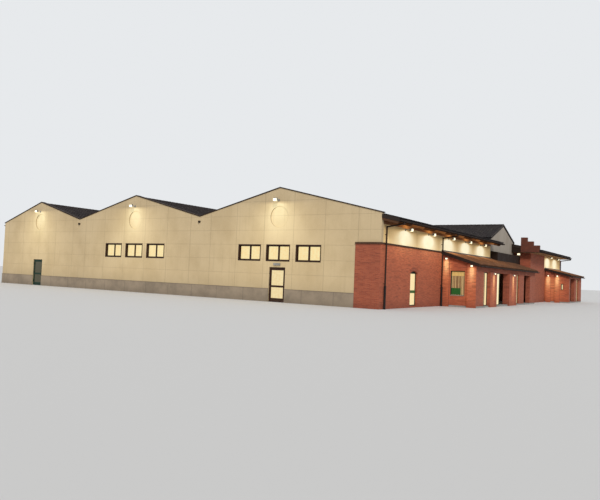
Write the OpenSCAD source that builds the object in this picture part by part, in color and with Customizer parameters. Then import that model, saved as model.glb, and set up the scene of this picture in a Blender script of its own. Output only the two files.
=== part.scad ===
// Supermarket building at half its real size: three precast gable bays, a brick
// entrance front with two lean-to porches, a cross gable and a stepped brick wing.
// X points out of the entrance front, -Y out of the gable front, +Z up.

/* [Gable bays] */
// Width of the bay beside the entrance front
bay_a_w = 7640; // [7400:20:7900]
// Width of the middle bay
bay_b_w = 7155; // [6900:15:7500]
// Width of the bay at the far side
bay_c_w = 5785; // [5500:15:6100]
// Ridge above the valleys in the bay beside the entrance front
rise_a = 940; // [900:5:980]
// Ridge above the valleys in the middle bay
rise_b = 925; // [880:5:1000]
// Ridge above the valleys in the far bay
rise_c = 850; // [780:5:920]
// Height of the roof at the eaves and valleys
eave_h = 2990; // [2960:5:3020]
// Drop of the far eaves below the valleys
far_drop = 90; // [60:5:110]
// Length of the hall from gable front to back wall
hall_len = 24100; // [24000:50:25000]
// Thickness of the precast wall panels
panel_t = 150; // [140:5:170]
// Height of the plinth band
plinth_h = 465; // [420:5:500]
// How far the plinth stands proud of the panels
plinth_out = 15; // [8:1:20]
// Height of the gable walls above the roof behind them
parapet_up = 50; // [40:5:70]
// Thickness of the metal cap on the gable walls
cap_t = 35; // [20:5:50]
// How far the metal cap stands out from the walls
cap_out = 25; // [15:5:40]

/* [Gable windows] */
// Width of one window opening
window_w = 970; // [850:10:1050]
// Height of one window opening
window_h = 545; // [480:5:600]
// Height of the window sills above the ground
window_sill = 1435; // [1400:5:1480]
// Distance between window centres, one wall panel
panel_w = 1250; // [1200:10:1300]
// Shift of ridge, windows and door from the middle of the bay beside the entrance
group_shift = -120; // [-200:10:0]
// Depth of the reveal in front of the window frames
window_reveal = 70; // [50:5:80]
// Face width of the outer bars of the gable windows
gable_sash_w = 46; // [40:2:54]
// Face width of the middle bar of the gable windows
gable_mullion_w = 76; // [64:2:84]
// Thickness of the dark lining of the gable windows' reveals
lining_t = 14; // [10:1:20]
// How far the lining stands proud of the wall
lining_out = 4; // [2:1:8]
// Face width of the frame bars of the entrance front's windows
sash_w = 32; // [24:2:40]
// Depth of the window frames
sash_d = 36; // [28:2:44]
// Thickness of the glass
glass_t = 8; // [6:1:12]
// Radius of the blind round recess below each ridge
oculus_r = 375; // [330:5:400]
// Depth of the round recess
oculus_d = 40; // [25:5:60]
// Centre of the round recess, from the eaves height
oculus_up = -20; // [-40:5:20]

/* [Gable doors] */
// Width of the door openings in the gable front
door_w = 680; // [640:10:720]
// Height of the door openings
door_h = 1210; // [1180:5:1260]
// Depth of the reveal in front of the door frames
door_reveal = 40; // [34:2:50]
// Face width of the door frame
door_frame_w = 30; // [28:2:36]
// Depth of the door frame
door_frame_d = 50; // [44:2:60]
// Thickness of the door leaf
leaf_t = 30; // [26:2:34]
// Width of the stiles of the door leaf
stile_w = 52; // [48:2:60]
// Height of the rails of the door leaf
rail_h = 70; // [60:5:90]
// Height of the middle rail above the floor
mid_rail_z = 450; // [400:10:520]
// Gap between leaf and frame
leaf_gap = 7; // [6.5:0.5:9]
// Radius of the hinge barrels
barrel_r = 8; // [7:0.5:9]
// Radius of the hinge pins
pin_r = 4; // [3:0.25:5]
// Clearance of the pins in the leaf's barrels
pin_gap = 0.3; // [0.2:0.05:0.4]
// Length of each hinge barrel
barrel_l = 30; // [24:2:40]
// Centre of the door in the far bay, from that bay's middle
door_c_shift = -50; // [-200:10:200]

/* [Entrance front] */
// Thickness of the brick walls
brick_t = 200; // [180:5:220]
// Underside of the coping band of the brick storey, below the main eaves
brick_drop = 950; // [920:5:980]
// Height of the dark coping band
coping_h = 60; // [50:5:80]
// How far the coping band stands out
coping_out = 30; // [20:5:40]
// Width of the brick facing that turns the corner onto the gable front
corner_w = 890; // [800:10:1000]
// Thickness of that corner facing
facing_t = 30; // [20:2:45]
// Length of the first part of the front, up to its porch
front_len = 5450; // [5400:10:5600]
// Length of the roof overhang, up to the cross gable
eaves_len = 11800; // [11600:50:12000]
// How far the roof overhangs the entrance front
eaves_out = 600; // [560:10:640]
// Thickness of the roof slabs, measured upright
roof_t = 110; // [95:5:120]
// Distance between the rafters under the overhang
rafter_pitch = 519; // [510:3:528]
// Width of one rafter
rafter_w = 50; // [40:5:60]
// Depth of one rafter
rafter_d = 70; // [50:5:80]
// Start of the arched window along the front
arch_win_y = 2390; // [2300:10:2500]
// Width of the arched window
arch_win_w = 620; // [560:10:700]
// Height of the arched window up to the springing
arch_win_h = 1190; // [1150:10:1250]
// Rise of its segmental arch
arch_rise = 80; // [65:5:100]
// Height of the band across the arched window
arch_band_z = 500; // [460:10:560]
// Radius of the gutters
gutter_r = 45; // [39:3:54]
// Thickness of the gutter metal
gutter_t = 8; // [6:1:10]
// Radius of the spouts that drain the valley gutters through the gable walls
spout_r = 42; // [36:1:48]
// How far those spouts stand out
spout_out = 60; // [40:5:80]
// Centre of the spouts below the valleys
spout_drop = 146; // [140:2:170]
// Radius of the downpipes
pipe_r = 25; // [20:1:28]
// Radius of the heavy foot of each downpipe
foot_r = 34; // [32:1:40]
// Height of that foot
foot_h = 500; // [400:20:600]

/* [Porches] */
// Depth of the first porch from the front to its outer face
porch_d = 1350; // [1300:10:1400]
// Far end of the first porch along the front
porch_end = 15000; // [14900:20:15200]
// Fall of the first porch roof, from the coping band to its outer edge
porch_fall = 465; // [440:5:490]
// Drop of the second porch roof below the first, where they meet the front
wing_porch_drop = 200; // [160:10:240]
// Fall of the second porch roof to its outer edge
wing_porch_fall = 350; // [330:5:370]
// How far the porch roofs overhang the outer faces
porch_eaves = 125; // [100:5:150]
// How far the porch roofs overhang the end walls
porch_verge = 120; // [90:10:140]
// Thickness of the porch roofs, measured upright
porch_roof_t = 90; // [70:5:100]
// Heads of the openings in the porch fronts, below the first porch roof's edge
porch_lintel = 260; // [245:5:280]
// Projection of the brick pilasters
pilaster_out = 60; // [40:5:80]
// Width of the slim windows
slim_w = 640; // [560:10:680]
// Width of the main entrance
entrance_w = 1850; // [1760:10:1900]
// Width of the fixed light beside the main entrance
side_light_w = 560; // [500:10:620]
// Setback of that fixed light behind the brick
side_light_set = 10; // [5:1:20]
// Width of the second entrance
side_entrance_w = 1200; // [1100:10:1250]
// Brick from the first porch's near end to its first slim window
pier_1_w = 925; // [860:5:980]
// Brick from that window to the main entrance
pier_2_w = 1000; // [940:10:1060]
// Brick from the main entrance to the second slim window
pier_3_w = 1350; // [1290:10:1410]
// Brick from that window to the second entrance
pier_4_w = 900; // [840:10:960]
// Height of the window sill in the porch end wall
end_sill = 425; // [380:5:480]
// Width of the window in the porch end wall
end_window_w = 565; // [500:5:620]
// Depth of the second porch
wing_porch_d = 1300; // [1250:10:1350]
// Start of the second porch along the front
wing_porch_start = 19650; // [19600:10:19750]
// Width of the doorway in the second porch
wing_door_w = 1400; // [1200:10:1500]
// Brick from the second porch's near end to its doorway
wing_pier_1_w = 400; // [340:10:460]
// Brick from that doorway to the slim window
wing_pier_2_w = 700; // [640:10:760]

/* [Cross gable and wing] */
// Rise of the cross gable's eaves above the main eaves
cross_up = 130; // [125:5:170]
// Rise of its ridge above its own eaves
cross_rise = 770; // [720:5:790]
// Start of the brick wing along the front
wing_start = 16100; // [16050:10:16200]
// How far the wing stands out from the front
wing_out = 875; // [850:5:900]
// Length of the wing's full-height brick part
wing_brick_len = 3350; // [3250:10:3400]
// Drop of the wing's eaves below the main eaves
wing_drop = 250; // [235:5:270]
// Thickness of the soffit boards of the wing
soffit_t = 20; // [15:1:40]
// How far the wing's roof overhangs its end wall
wing_verge = 450; // [380:10:500]
// Thickness of the stepped brick crest
crest_t = 200; // [180:5:220]
// Height of the top step above the main eaves
crest_up = 405; // [380:5:450]
// Fall from one step to the next
crest_step = 205; // [180:5:215]
// Width of one step
crest_w = 310; // [290:5:330]
// Depth of the dark pent roof over the entrance
pent_d = 340; // [300:10:380]
// Drop of that pent roof below the main eaves, at the wall
pent_drop = 510; // [460:10:540]
// Height of the pent roof's outer face
pent_face = 55; // [40:5:70]

/* [Lamps] */
// Reach of the floodlights from the wall
lamp_reach = 250; // [200:10:300]
// Width of a floodlight's housing
lamp_w = 150; // [120:5:170]
// Drop of the gable floodlights below the ridge
lamp_drop = 380; // [350:10:410]
// Drop of the front's floodlights below the eaves
lamp_eaves_drop = 355; // [340:5:400]
// First floodlight under the eaves, along the front
lamp_first = 1830; // [1800:10:1900]
// Distance between the floodlights under the eaves
lamp_pitch = 2100; // [2080:5:2130]

/* [Hall] */
// Thickness of the floor slab
floor_t = 60; // [50:5:80]
// Width of the columns
column_w = 250; // [220:10:280]
// Number of columns in each row
column_n = 5; // [4:1:6]
// Width of the valley beams
beam_w = 300; // [280:10:340]
// Depth of the valley beams
beam_d = 360; // [320:10:400]
// Width of the posts along the entrance front
post_w = 200; // [160:10:240]
// Depth of the beams over those posts
post_beam_d = 260; // [220:10:300]
// Depth of the beam between hall and wing
wing_beam_d = 300; // [260:10:340]

/* [Hidden] */
$fn = 32;
total_w = bay_a_w + bay_b_w + bay_c_w;
valley_a = -bay_a_w;
valley_b = -bay_a_w - bay_b_w;
far_x = -total_w;
ridge_a_x = -bay_a_w / 2 + group_shift;
mid_b = valley_a - bay_b_w / 2;
mid_c = valley_b - bay_c_w / 2;
wall_top = eave_h + parapet_up;
slope_a = rise_a / -ridge_a_x;
slope_a_in = rise_a / (ridge_a_x - valley_a);
slope_b = 2 * rise_b / bay_b_w;
slope_c = 2 * rise_c / bay_c_w;
slope_far = 2 * (rise_c + far_drop) / bay_c_w;
far_z = eave_h - far_drop;
roof_under = eave_h - roof_t;
back_y = hall_len - panel_t;
brick_h = eave_h - brick_drop;
coping_top = brick_h + coping_h;
plinth_joint = 4;

// Bedding gap between a sloping roof and what it rests on
bed = 0.3;

// Gable doors: left edges of their openings, and the hinges and leaf within them
door_a_x = ridge_a_x - door_w / 2;
door_c_x = mid_c + door_c_shift - door_w / 2;
hinge_y = door_reveal - barrel_r - 4;
leaf_z0 = floor_t + leaf_gap;
leaf_z1 = door_h - door_frame_w - leaf_gap;
hinge_heights = [leaf_z0 + 160, (leaf_z0 + leaf_z1) / 2, leaf_z1 - 160];
barrel_gap = 0.4;
pull_out = 28;
pull_l = 200;

// Windows of the gable front and the back wall
window_mids = [ridge_a_x, mid_b];

// Main roof over the entrance front
eaves_z = eave_h - slope_a * eaves_out;

// Wing roof, from its own edge up to the main slope behind the front
wing_x = wing_out;
wing_in_x = -700;
wing_edge_x = wing_x + eaves_out;
wing_edge_z = eave_h - wing_drop;
wing_slope = (eave_h - slope_a * wing_in_x - wing_edge_z) / (wing_edge_x - wing_in_x);
wing_verge_y = wing_start - wing_verge;
soffit_z = wing_edge_z - roof_t - soffit_t;
wing_brick_end = wing_start + wing_brick_len;
wing_porch_end = hall_len - 350;

// Stepped crest at the wing's verge
crest_x1 = wing_edge_x - 80;
crest_x0 = crest_x1 - 3 * crest_w;
crest_top = eave_h + crest_up;

// Porch roofs, and the low brick wall of the wing that the second one meets
porch_top = coping_top;
porch_edge = porch_top - porch_fall;
porch_head = porch_edge - porch_lintel;
porch_x = porch_d + porch_eaves;
porch_slope = porch_fall / porch_x;
wing_porch_top = porch_top - wing_porch_drop;
wing_porch_edge = wing_porch_top - wing_porch_fall;
wing_porch_face = wing_x + wing_porch_d;
wing_porch_x = wing_porch_face + porch_eaves;
wing_porch_slope = wing_porch_fall / (wing_porch_x - wing_x);
wing_brick_h = wing_porch_top - coping_h;

// First porch: brick piers and openings from its near end to its far end
slim_1_y = front_len + pier_1_w;
entrance_y = slim_1_y + slim_w + pier_2_w;
slim_2_y = entrance_y + entrance_w + pier_3_w;
side_entrance_y = slim_2_y + slim_w + pier_4_w;
end_window_x = 335;
pilaster_gap = 35;

// Second porch
wing_door_y = wing_porch_start + wing_pier_1_w;
wing_slim_y = wing_door_y + wing_door_w + wing_pier_2_w;
slot_x = wing_x + 875;
slot_w = 115;
slot_z = 725;
slot_h = 335;

// Cross gable
cross_y0 = eaves_len;
cross_y1 = wing_start;
cross_mid = (cross_y0 + cross_y1) / 2;
cross_eave = eave_h + cross_up;
cross_top = cross_eave + cross_rise;
cross_roof_t = 80;
cross_out = 15;
cross_back = -(cross_top + 60 - eave_h) / slope_a;

// Gutters and downpipes
gutter_seat = 6;
gutter_drop = 50;
gutter_out = 2 * gutter_r - gutter_seat;
pipe_out = coping_out + pipe_r + 5;
pipe_gap = 0.3;
pipe_seat = 30;
elbow_out = 4;
pipe_1_y = 262;
pipe_2_y = front_len - porch_verge - foot_r - 6;
wing_pipe_y = wing_porch_end + porch_verge + foot_r + 20;

// Posts and beams behind the porches
post_top = brick_h - post_beam_d;
wing_post_top = wing_brick_h - post_beam_d;
wing_beam_z = roof_under - wing_beam_d;

// Pent roof
pent_top = eave_h - pent_drop;

// Lamps
lamp_side = -40;
eaves_lamp_z = eave_h - lamp_eaves_drop;
wing_lamp_z = soffit_z - 75;
wing_lamps = [for (share = [0.134, 0.637])
    wing_porch_start + share * (wing_porch_end - wing_porch_start)];
wing_side_lamp_x = pent_d - 20;

// Bulkhead lamps of the porches: place across the end wall, and drop below the roof
end_lamps = [[end_window_x / 2 + 20, 120], [porch_d - 175, 65]];
pier_lamp_z = porch_head - 40;
wing_end_lamps = [wing_x + 200, wing_x + 685];
wing_end_lamp_z = porch_head + 125;

// Middle of the whole model, under which its origin lies
min_x = far_x - pipe_out - foot_r;
max_x = wing_porch_x + gutter_out;
min_y = -lamp_reach;
max_y = hall_len + cap_out;
center_x = (min_x + max_x) / 2;
center_y = (min_y + max_y) / 2;

// Tops of the sloping roofs over the front, at a given x
function main_z(x) = eave_h - slope_a * x;
function wing_z(x) = wing_edge_z + wing_slope * (wing_edge_x - x);
function porch_z(x) = porch_top - porch_slope * x;
function wing_porch_z(x) = wing_porch_top - wing_porch_slope * (x - wing_x);

// Tops of the walls and beams that those roofs are bedded on
function main_seat(x) = main_z(x) - roof_t - bed;
function wing_seat(x) = wing_z(x) - roof_t - bed;
function porch_seat(x) = porch_z(x) - porch_roof_t - bed;
function wing_porch_seat(x) = wing_porch_z(x) - porch_roof_t - bed;

// Moves a piece so that the origin lies under the middle of the model
module placed() {
    translate([-center_x, -center_y, 0]) children();
}

// Box between two corners
module box(x0, x1, y0, y1, z0, z1) {
    translate([x0, y0, z0]) cube([x1 - x0, y1 - y0, z1 - z0]);
}

// Outline in X and Z, drawn out along Y
module along_y(y0, y1, points) {
    translate([0, y1, 0]) rotate([90, 0, 0]) linear_extrude(y1 - y0) polygon(points);
}

// Outline in Y and Z, drawn out along X
module along_x(x0, x1, points) {
    translate([x0, 0, 0]) rotate([90, 0, 90]) linear_extrude(x1 - x0) polygon(points);
}

// Upright round bar
module bar(x, y, z0, z1, r) {
    translate([x, y, z0]) cylinder(r = r, h = z1 - z0);
}

// Turns a piece made for a wall that faces -Y so that it suits one that faces +X
module facing_x(x, y, z) {
    translate([x, y, z]) rotate([0, 0, 90]) children();
}

// Floors of the hall, the wing and the porches
module floor_slab() {
    door_y = door_reveal + door_frame_d;
    color("gray") placed() union() {
        box(far_x + panel_t, -brick_t, panel_t, back_y, 0, floor_t);
        for (x = [door_a_x, door_c_x])
            box(x, x + door_w, door_y, panel_t, 0, floor_t);
        box(-brick_t, 0, front_len + brick_t, porch_end - brick_t, 0, floor_t);
        box(0, porch_d, front_len, porch_end, 0, floor_t);
        box(-brick_t, 0, wing_start, back_y, 0, floor_t);
        box(0, wing_x - brick_t, wing_start + brick_t, back_y, 0, floor_t);
        box(wing_x - brick_t, wing_x, wing_porch_start + brick_t, wing_porch_end - brick_t, 0, floor_t);
        box(wing_x, wing_porch_face, wing_porch_start, wing_porch_end, 0, floor_t);
    }
}

// Proud bottom band of the precast walls, broken at the doors
module plinth_bands() {
    color("tan") placed() {
        box(door_c_x + door_w, door_a_x, -plinth_out, 0, 0, plinth_h);
        box(door_a_x + door_w, -corner_w, -plinth_out, 0, 0, plinth_h);
        box(far_x - plinth_out, door_c_x, -plinth_out, 0, 0, plinth_h);
        box(far_x - plinth_out, far_x, plinth_joint, hall_len - plinth_joint, 0, plinth_h);
        box(far_x - plinth_out, 0, hall_len, hall_len + plinth_out, 0, plinth_h);
    }
}

// Three window openings side by side, one panel apart
module window_holes(mid_x, y0, y1) {
    for (i = [-1:1])
        box(mid_x + i * panel_w - window_w / 2, mid_x + i * panel_w + window_w / 2,
            y0, y1, window_sill, window_sill + window_h);
}

// Blind round recess below a ridge
module oculus(mid_x, y0, y1) {
    translate([mid_x, y0, eave_h + oculus_up]) rotate([-90, 0, 0])
        cylinder(r = oculus_r, h = y1 - y0, $fn = 64);
}

// Precast walls beside the two doors, up to the door heads
module gable_lower_walls() {
    color("khaki") placed() {
        box(far_x, door_c_x, 0, panel_t, 0, door_h);
        box(door_c_x + door_w, valley_b, 0, panel_t, 0, door_h);
        box(valley_a, door_a_x, 0, panel_t, 0, door_h);
        box(door_a_x + door_w, -brick_t, 0, panel_t, 0, door_h);
    }
}

// Upper gable beside the entrance front, standing on the brick corner at its right end
module bay_a_upper_wall() {
    color("khaki") placed() difference() {
        along_y(0, panel_t, [[valley_a, door_h], [-brick_t, door_h], [-brick_t, coping_top],
                             [0, coping_top], [0, wall_top], [ridge_a_x, wall_top + rise_a],
                             [valley_a, wall_top]]);
        window_holes(ridge_a_x, -1, panel_t + 1);
        oculus(ridge_a_x, -1, oculus_d);
    }
}

module bay_b_wall() {
    color("khaki") placed() difference() {
        along_y(0, panel_t, [[valley_b, 0], [valley_a, 0], [valley_a, wall_top],
                             [mid_b, wall_top + rise_b], [valley_b, wall_top]]);
        window_holes(mid_b, -1, panel_t + 1);
        oculus(mid_b, -1, oculus_d);
    }
}

module bay_c_upper_wall() {
    color("khaki") placed() difference() {
        along_y(0, panel_t, [[far_x, door_h], [valley_b, door_h], [valley_b, wall_top],
                             [mid_c, wall_top + rise_c], [far_x, wall_top - far_drop]]);
        oculus(mid_c, -1, oculus_d);
    }
}

// Back wall across all three bays, with the windows and recesses of the front
module back_wall() {
    color("khaki") placed() difference() {
        along_y(back_y, hall_len, [[far_x, 0], [0, 0], [0, wall_top], [ridge_a_x, wall_top + rise_a],
                                   [valley_a, wall_top], [mid_b, wall_top + rise_b],
                                   [valley_b, wall_top], [mid_c, wall_top + rise_c],
                                   [far_x, wall_top - far_drop]]);
        for (m = window_mids)
            window_holes(m, back_y - 1, hall_len + 1);
        for (m = [ridge_a_x, mid_b, mid_c])
            oculus(m, hall_len - oculus_d, hall_len + 1);
    }
}

module far_side_wall() {
    color("khaki") placed()
        along_y(panel_t, back_y, [[far_x, 0], [far_x + panel_t, 0],
                                  [far_x + panel_t, far_z - roof_t - bed + slope_far * panel_t],
                                  [far_x, far_z - roof_t - bed]]);
}

// Folded metal caps along the tops of the gable walls
module gable_caps() {
    base = wall_top + bed;
    line = [[far_x - cap_out, base - far_drop - slope_far * cap_out], [mid_c, base + rise_c],
            [valley_b, base], [mid_b, base + rise_b], [valley_a, base],
            [ridge_a_x, base + rise_a], [cap_out, base - slope_a * cap_out]];
    last = len(line) - 1;
    band = concat(line, [for (i = [last:-1:0]) line[i] + [0, cap_t]]);
    color("dimgray") placed() {
        along_y(-cap_out, panel_t + cap_out, band);
        along_y(back_y - cap_out, hall_len + cap_out, band);
    }
}

// Frame of equal upright lights side by side, its left lower front corner at the origin
module light_frame(w, h, lights, side = sash_w, middle = sash_w) {
    pane_w = (w - 2 * side - (lights - 1) * middle) / lights;
    difference() {
        cube([w, sash_d, h]);
        for (i = [0:lights - 1])
            translate([side + i * (pane_w + middle), -1, side])
                cube([pane_w, sash_d + 2, h - 2 * side]);
    }
}

// Panes of such a frame
module light_panes(w, h, lights, side = sash_w, middle = sash_w) {
    pane_w = (w - 2 * side - (lights - 1) * middle) / lights;
    for (i = [0:lights - 1])
        translate([side + i * (pane_w + middle), (sash_d - glass_t) / 2, side])
            cube([pane_w, glass_t, h - 2 * side]);
}

// Box frame: a lining of the reveal that stands a little proud of the wall, with its lights
module lined_frame() {
    out = window_reveal + lining_out;
    union() {
        light_frame(window_w, window_h, 2, gable_sash_w, gable_mullion_w);
        translate([0, -out, 0]) difference() {
            cube([window_w, out + 1, window_h]);
            translate([lining_t, -1, lining_t])
                cube([window_w - 2 * lining_t, out + 3, window_h - 2 * lining_t]);
        }
    }
}

// Places a piece made for a wall that faces -Y at each gable window, front and back
module at_gable_windows() {
    for (i = [-1:1], m = window_mids) {
        translate([m + i * panel_w - window_w / 2, window_reveal, window_sill]) children();
        translate([m + i * panel_w + window_w / 2, hall_len - window_reveal, window_sill])
            rotate([0, 0, 180]) children();
    }
}

module gable_window_frames() {
    color("saddlebrown") placed() at_gable_windows() lined_frame();
}

module gable_window_glass() {
    color("lightblue") placed() at_gable_windows()
        light_panes(window_w, window_h, 2, gable_sash_w, gable_mullion_w);
}

function hinge_x(x0) = x0 + door_frame_w + leaf_gap / 2;

// Door frame with its sill, hinge pins and the two fixed barrels of each hinge
module door_frame(x0) {
    hx = hinge_x(x0);
    y1 = door_reveal + door_frame_d;
    difference() {
        box(x0, x0 + door_w, door_reveal, y1, 0, door_h);
        box(x0 + door_frame_w, x0 + door_w - door_frame_w, door_reveal - 1, y1 + 1,
            floor_t, door_h - door_frame_w);
    }
    for (z = hinge_heights) {
        bar(hx, hinge_y, z - 1.5 * barrel_l, z + 1.5 * barrel_l, pin_r);
        for (s = [-1, 1]) {
            bar(hx, hinge_y, z + s * barrel_l - barrel_l / 2, z + s * barrel_l + barrel_l / 2, barrel_r);
            box(x0 + 6, hx, hinge_y - pin_r, door_reveal + 1,
                z + s * barrel_l - barrel_l / 2, z + s * barrel_l + barrel_l / 2);
        }
    }
}

// Glazed door leaf with middle rail, pull handle and the moving barrel of each hinge
module door_leaf(x0) {
    lx0 = x0 + door_frame_w + leaf_gap;
    lx1 = x0 + door_w - door_frame_w - leaf_gap;
    hx = hinge_x(x0);
    y1 = door_reveal + leaf_t;
    mid_z = floor_t + mid_rail_z;
    pull_x = lx1 - stile_w / 2;
    barrel_h = barrel_l / 2 - barrel_gap;
    difference() {
        union() {
            box(lx0, lx1, door_reveal, y1, leaf_z0, leaf_z1);
            for (z = hinge_heights) {
                bar(hx, hinge_y, z - barrel_h, z + barrel_h, barrel_r);
                box(hx, lx0 + stile_w - 8, hinge_y - pin_r, door_reveal + 1, z - barrel_h, z + barrel_h);
            }
            bar(pull_x, door_reveal - pull_out, mid_z, mid_z + pull_l, 7);
            for (z = [mid_z + 20, mid_z + pull_l - 20])
                translate([pull_x, door_reveal + 1, z]) rotate([90, 0, 0])
                    cylinder(r = 5, h = pull_out + 1);
        }
        for (z = hinge_heights)
            bar(hx, hinge_y, z - barrel_l, z + barrel_l, pin_r + pin_gap);
        box(lx0 + stile_w, lx1 - stile_w, door_reveal - 1, y1 + 1, leaf_z0 + rail_h, mid_z);
        box(lx0 + stile_w, lx1 - stile_w, door_reveal - 1, y1 + 1, mid_z + rail_h, leaf_z1 - rail_h);
    }
}

module door_glass(x0) {
    lx0 = x0 + door_frame_w + leaf_gap + stile_w;
    lx1 = x0 + door_w - door_frame_w - leaf_gap - stile_w;
    y0 = door_reveal + (leaf_t - glass_t) / 2;
    mid_z = floor_t + mid_rail_z;
    box(lx0, lx1, y0, y0 + glass_t, leaf_z0 + rail_h, mid_z);
    box(lx0, lx1, y0, y0 + glass_t, mid_z + rail_h, leaf_z1 - rail_h);
}

module bay_a_door_frame() {
    color("dimgray") placed() union() door_frame(door_a_x);
}

module bay_a_door_leaf() {
    color("saddlebrown") placed() door_leaf(door_a_x);
}

module bay_a_door_glass() {
    color("lightblue") placed() door_glass(door_a_x);
}

module bay_c_door_frame() {
    color("darkgreen") placed() union() door_frame(door_c_x);
}

module bay_c_door_leaf() {
    color("green") placed() door_leaf(door_c_x);
}

module bay_c_door_glass() {
    color("lightblue") placed() door_glass(door_c_x);
}

// Columns under the valleys, and posts where the hall opens into wing and porches
module columns() {
    step = (back_y - panel_t) / (column_n + 1);
    span = porch_end - front_len - 2 * brick_t;
    half_post = post_w / 2;
    wing_len = back_y - wing_start;
    porch_mid = (wing_porch_start + wing_porch_end) / 2;
    color("silver") placed() {
        for (x = [valley_a, valley_b]) for (i = [1:column_n])
            box(x - column_w / 2, x + column_w / 2, panel_t + i * step - column_w / 2,
                panel_t + i * step + column_w / 2, floor_t, roof_under - beam_d);
        for (i = [1:3])
            box(-post_w, 0, front_len + brick_t + i * span / 4 - half_post,
                front_len + brick_t + i * span / 4 + half_post, floor_t, post_top);
        for (y = [wing_start, wing_start + wing_len / 2, back_y - post_w])
            box(wing_in_x, wing_in_x + post_w, y, y + post_w, floor_t, wing_beam_z);
        box(wing_x - post_w, wing_x, porch_mid - half_post, porch_mid + half_post, floor_t,
            wing_post_top);
    }
}

// Beam under a valley, its top cut to the two roof slopes
module valley_beam(x, slope_left, slope_right) {
    h = beam_w / 2;
    seat = roof_under - bed;
    along_y(panel_t, back_y,
        [[x - h, roof_under - beam_d], [x + h, roof_under - beam_d],
         [x + h, seat + h * slope_right], [x, seat], [x - h, seat + h * slope_left]]);
}

module beams() {
    bx0 = wing_in_x - 50;
    bx1 = wing_in_x + post_w;
    color("silver") placed() {
        valley_beam(valley_a, slope_b, slope_a_in);
        valley_beam(valley_b, slope_c, slope_b);
        box(-post_w, 0, front_len + brick_t, porch_end - brick_t, post_top, brick_h);
        along_y(wing_start, back_y,
            [[bx0, wing_beam_z], [bx1, wing_beam_z], [bx1, wing_seat(bx1)],
             [wing_in_x, main_seat(wing_in_x)], [bx0, main_seat(bx0)]]);
        box(wing_x - post_w, wing_x, wing_porch_start + brick_t, wing_porch_end - brick_t,
            wing_post_top, wing_brick_h);
    }
}

// Segmental arch above a springing line, in Y and Z
function arch_points(y0, w, z, rise) =
    let (r = (w * w / 4 + rise * rise) / (2 * rise), a = asin(w / (2 * r)))
    [for (i = [0:8]) let (t = a - a * i / 4) [y0 + w / 2 + r * sin(t), z + rise - r + r * cos(t)]];

// Opening with a segmental head
function arch_opening(y0, w, z0, z1, rise) =
    concat([[y0, z0], [y0 + w, z0]], arch_points(y0, w, z1, rise));

// Brick walls of the front, before the porch and beyond it
module front_brick_wall() {
    color("firebrick") placed() {
        difference() {
            box(-brick_t, 0, 0, front_len + brick_t, 0, brick_h);
            along_x(-brick_t - 1, 1, arch_opening(arch_win_y, arch_win_w, floor_t, arch_win_h, arch_rise));
        }
        box(-brick_t, 0, porch_end - brick_t, wing_start, 0, brick_h);
    }
}

// Brick facing that turns the corner onto the gable front
module corner_brick_facing() {
    color("firebrick") placed() box(-corner_w, 0, -facing_t, 0, 0, brick_h);
}

// Pale upper wall under the eaves, its top cut to the roof slope
module front_upper_wall() {
    color("khaki") placed() along_y(panel_t, eaves_len,
        [[-panel_t, coping_top], [0, coping_top], [0, main_seat(0)],
         [-panel_t, main_seat(-panel_t)]]);
}

// Dark coping bands on top of the brick storey
module front_copings() {
    verge_1 = front_len - porch_verge;
    verge_2 = wing_porch_start - porch_verge;
    out = facing_t + coping_out;
    color("dimgray") placed() {
        translate([0, 0, brick_h]) linear_extrude(coping_h)
            polygon([[-corner_w, -out], [coping_out, -out], [coping_out, verge_1], [0, verge_1],
                     [0, eaves_len], [-brick_t, eaves_len], [-brick_t, 0], [-corner_w, 0]]);
        translate([0, 0, wing_brick_h]) linear_extrude(coping_h)
            polygon([[wing_x - brick_t, wing_brick_end], [wing_x + coping_out, wing_brick_end],
                     [wing_x + coping_out, verge_2], [wing_x, verge_2], [wing_x, back_y],
                     [wing_x - brick_t, back_y]]);
    }
}

// The two lights of the arched window, from x0 to x1: one below its band, one up to its head board
module arch_lights(x0, x1) {
    y0 = arch_win_y + sash_w;
    y1 = arch_win_y + arch_win_w - sash_w;
    box(x0, x1, y0, y1, floor_t + sash_w, arch_band_z);
    box(x0, x1, y0, y1, arch_band_z + 3 * sash_w, arch_win_h - sash_w / 2);
}

// Frame of the arched window, with a band across it and a solid board under its arch
module arch_frame() {
    x1 = -window_reveal;
    x0 = x1 - sash_d;
    difference() {
        along_x(x0, x1, arch_opening(arch_win_y, arch_win_w, floor_t, arch_win_h, arch_rise));
        arch_lights(x0 - 1, x1 + 1);
    }
}

module arch_panes() {
    x1 = -window_reveal - (sash_d - glass_t) / 2;
    arch_lights(x1 - glass_t, x1);
}

front_light_h = porch_head - floor_t;
end_light_h = porch_head - end_sill;

module entrance_window_frames() {
    color("darkgreen") placed() {
        arch_frame();
        facing_x(porch_d - window_reveal, slim_1_y, floor_t) light_frame(slim_w, front_light_h, 2);
        facing_x(porch_d - side_light_set, entrance_y, floor_t)
            light_frame(side_light_w, front_light_h, 1);
        facing_x(porch_d - window_reveal, slim_2_y, floor_t) light_frame(slim_w, front_light_h, 2);
        facing_x(wing_porch_face - window_reveal, wing_slim_y, floor_t)
            light_frame(slim_w, front_light_h, 2);
        translate([end_window_x, front_len + window_reveal, end_sill])
            light_frame(end_window_w, end_light_h, 1);
        translate([slot_x, wing_porch_start + window_reveal, slot_z]) light_frame(slot_w, slot_h, 1);
    }
}

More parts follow.
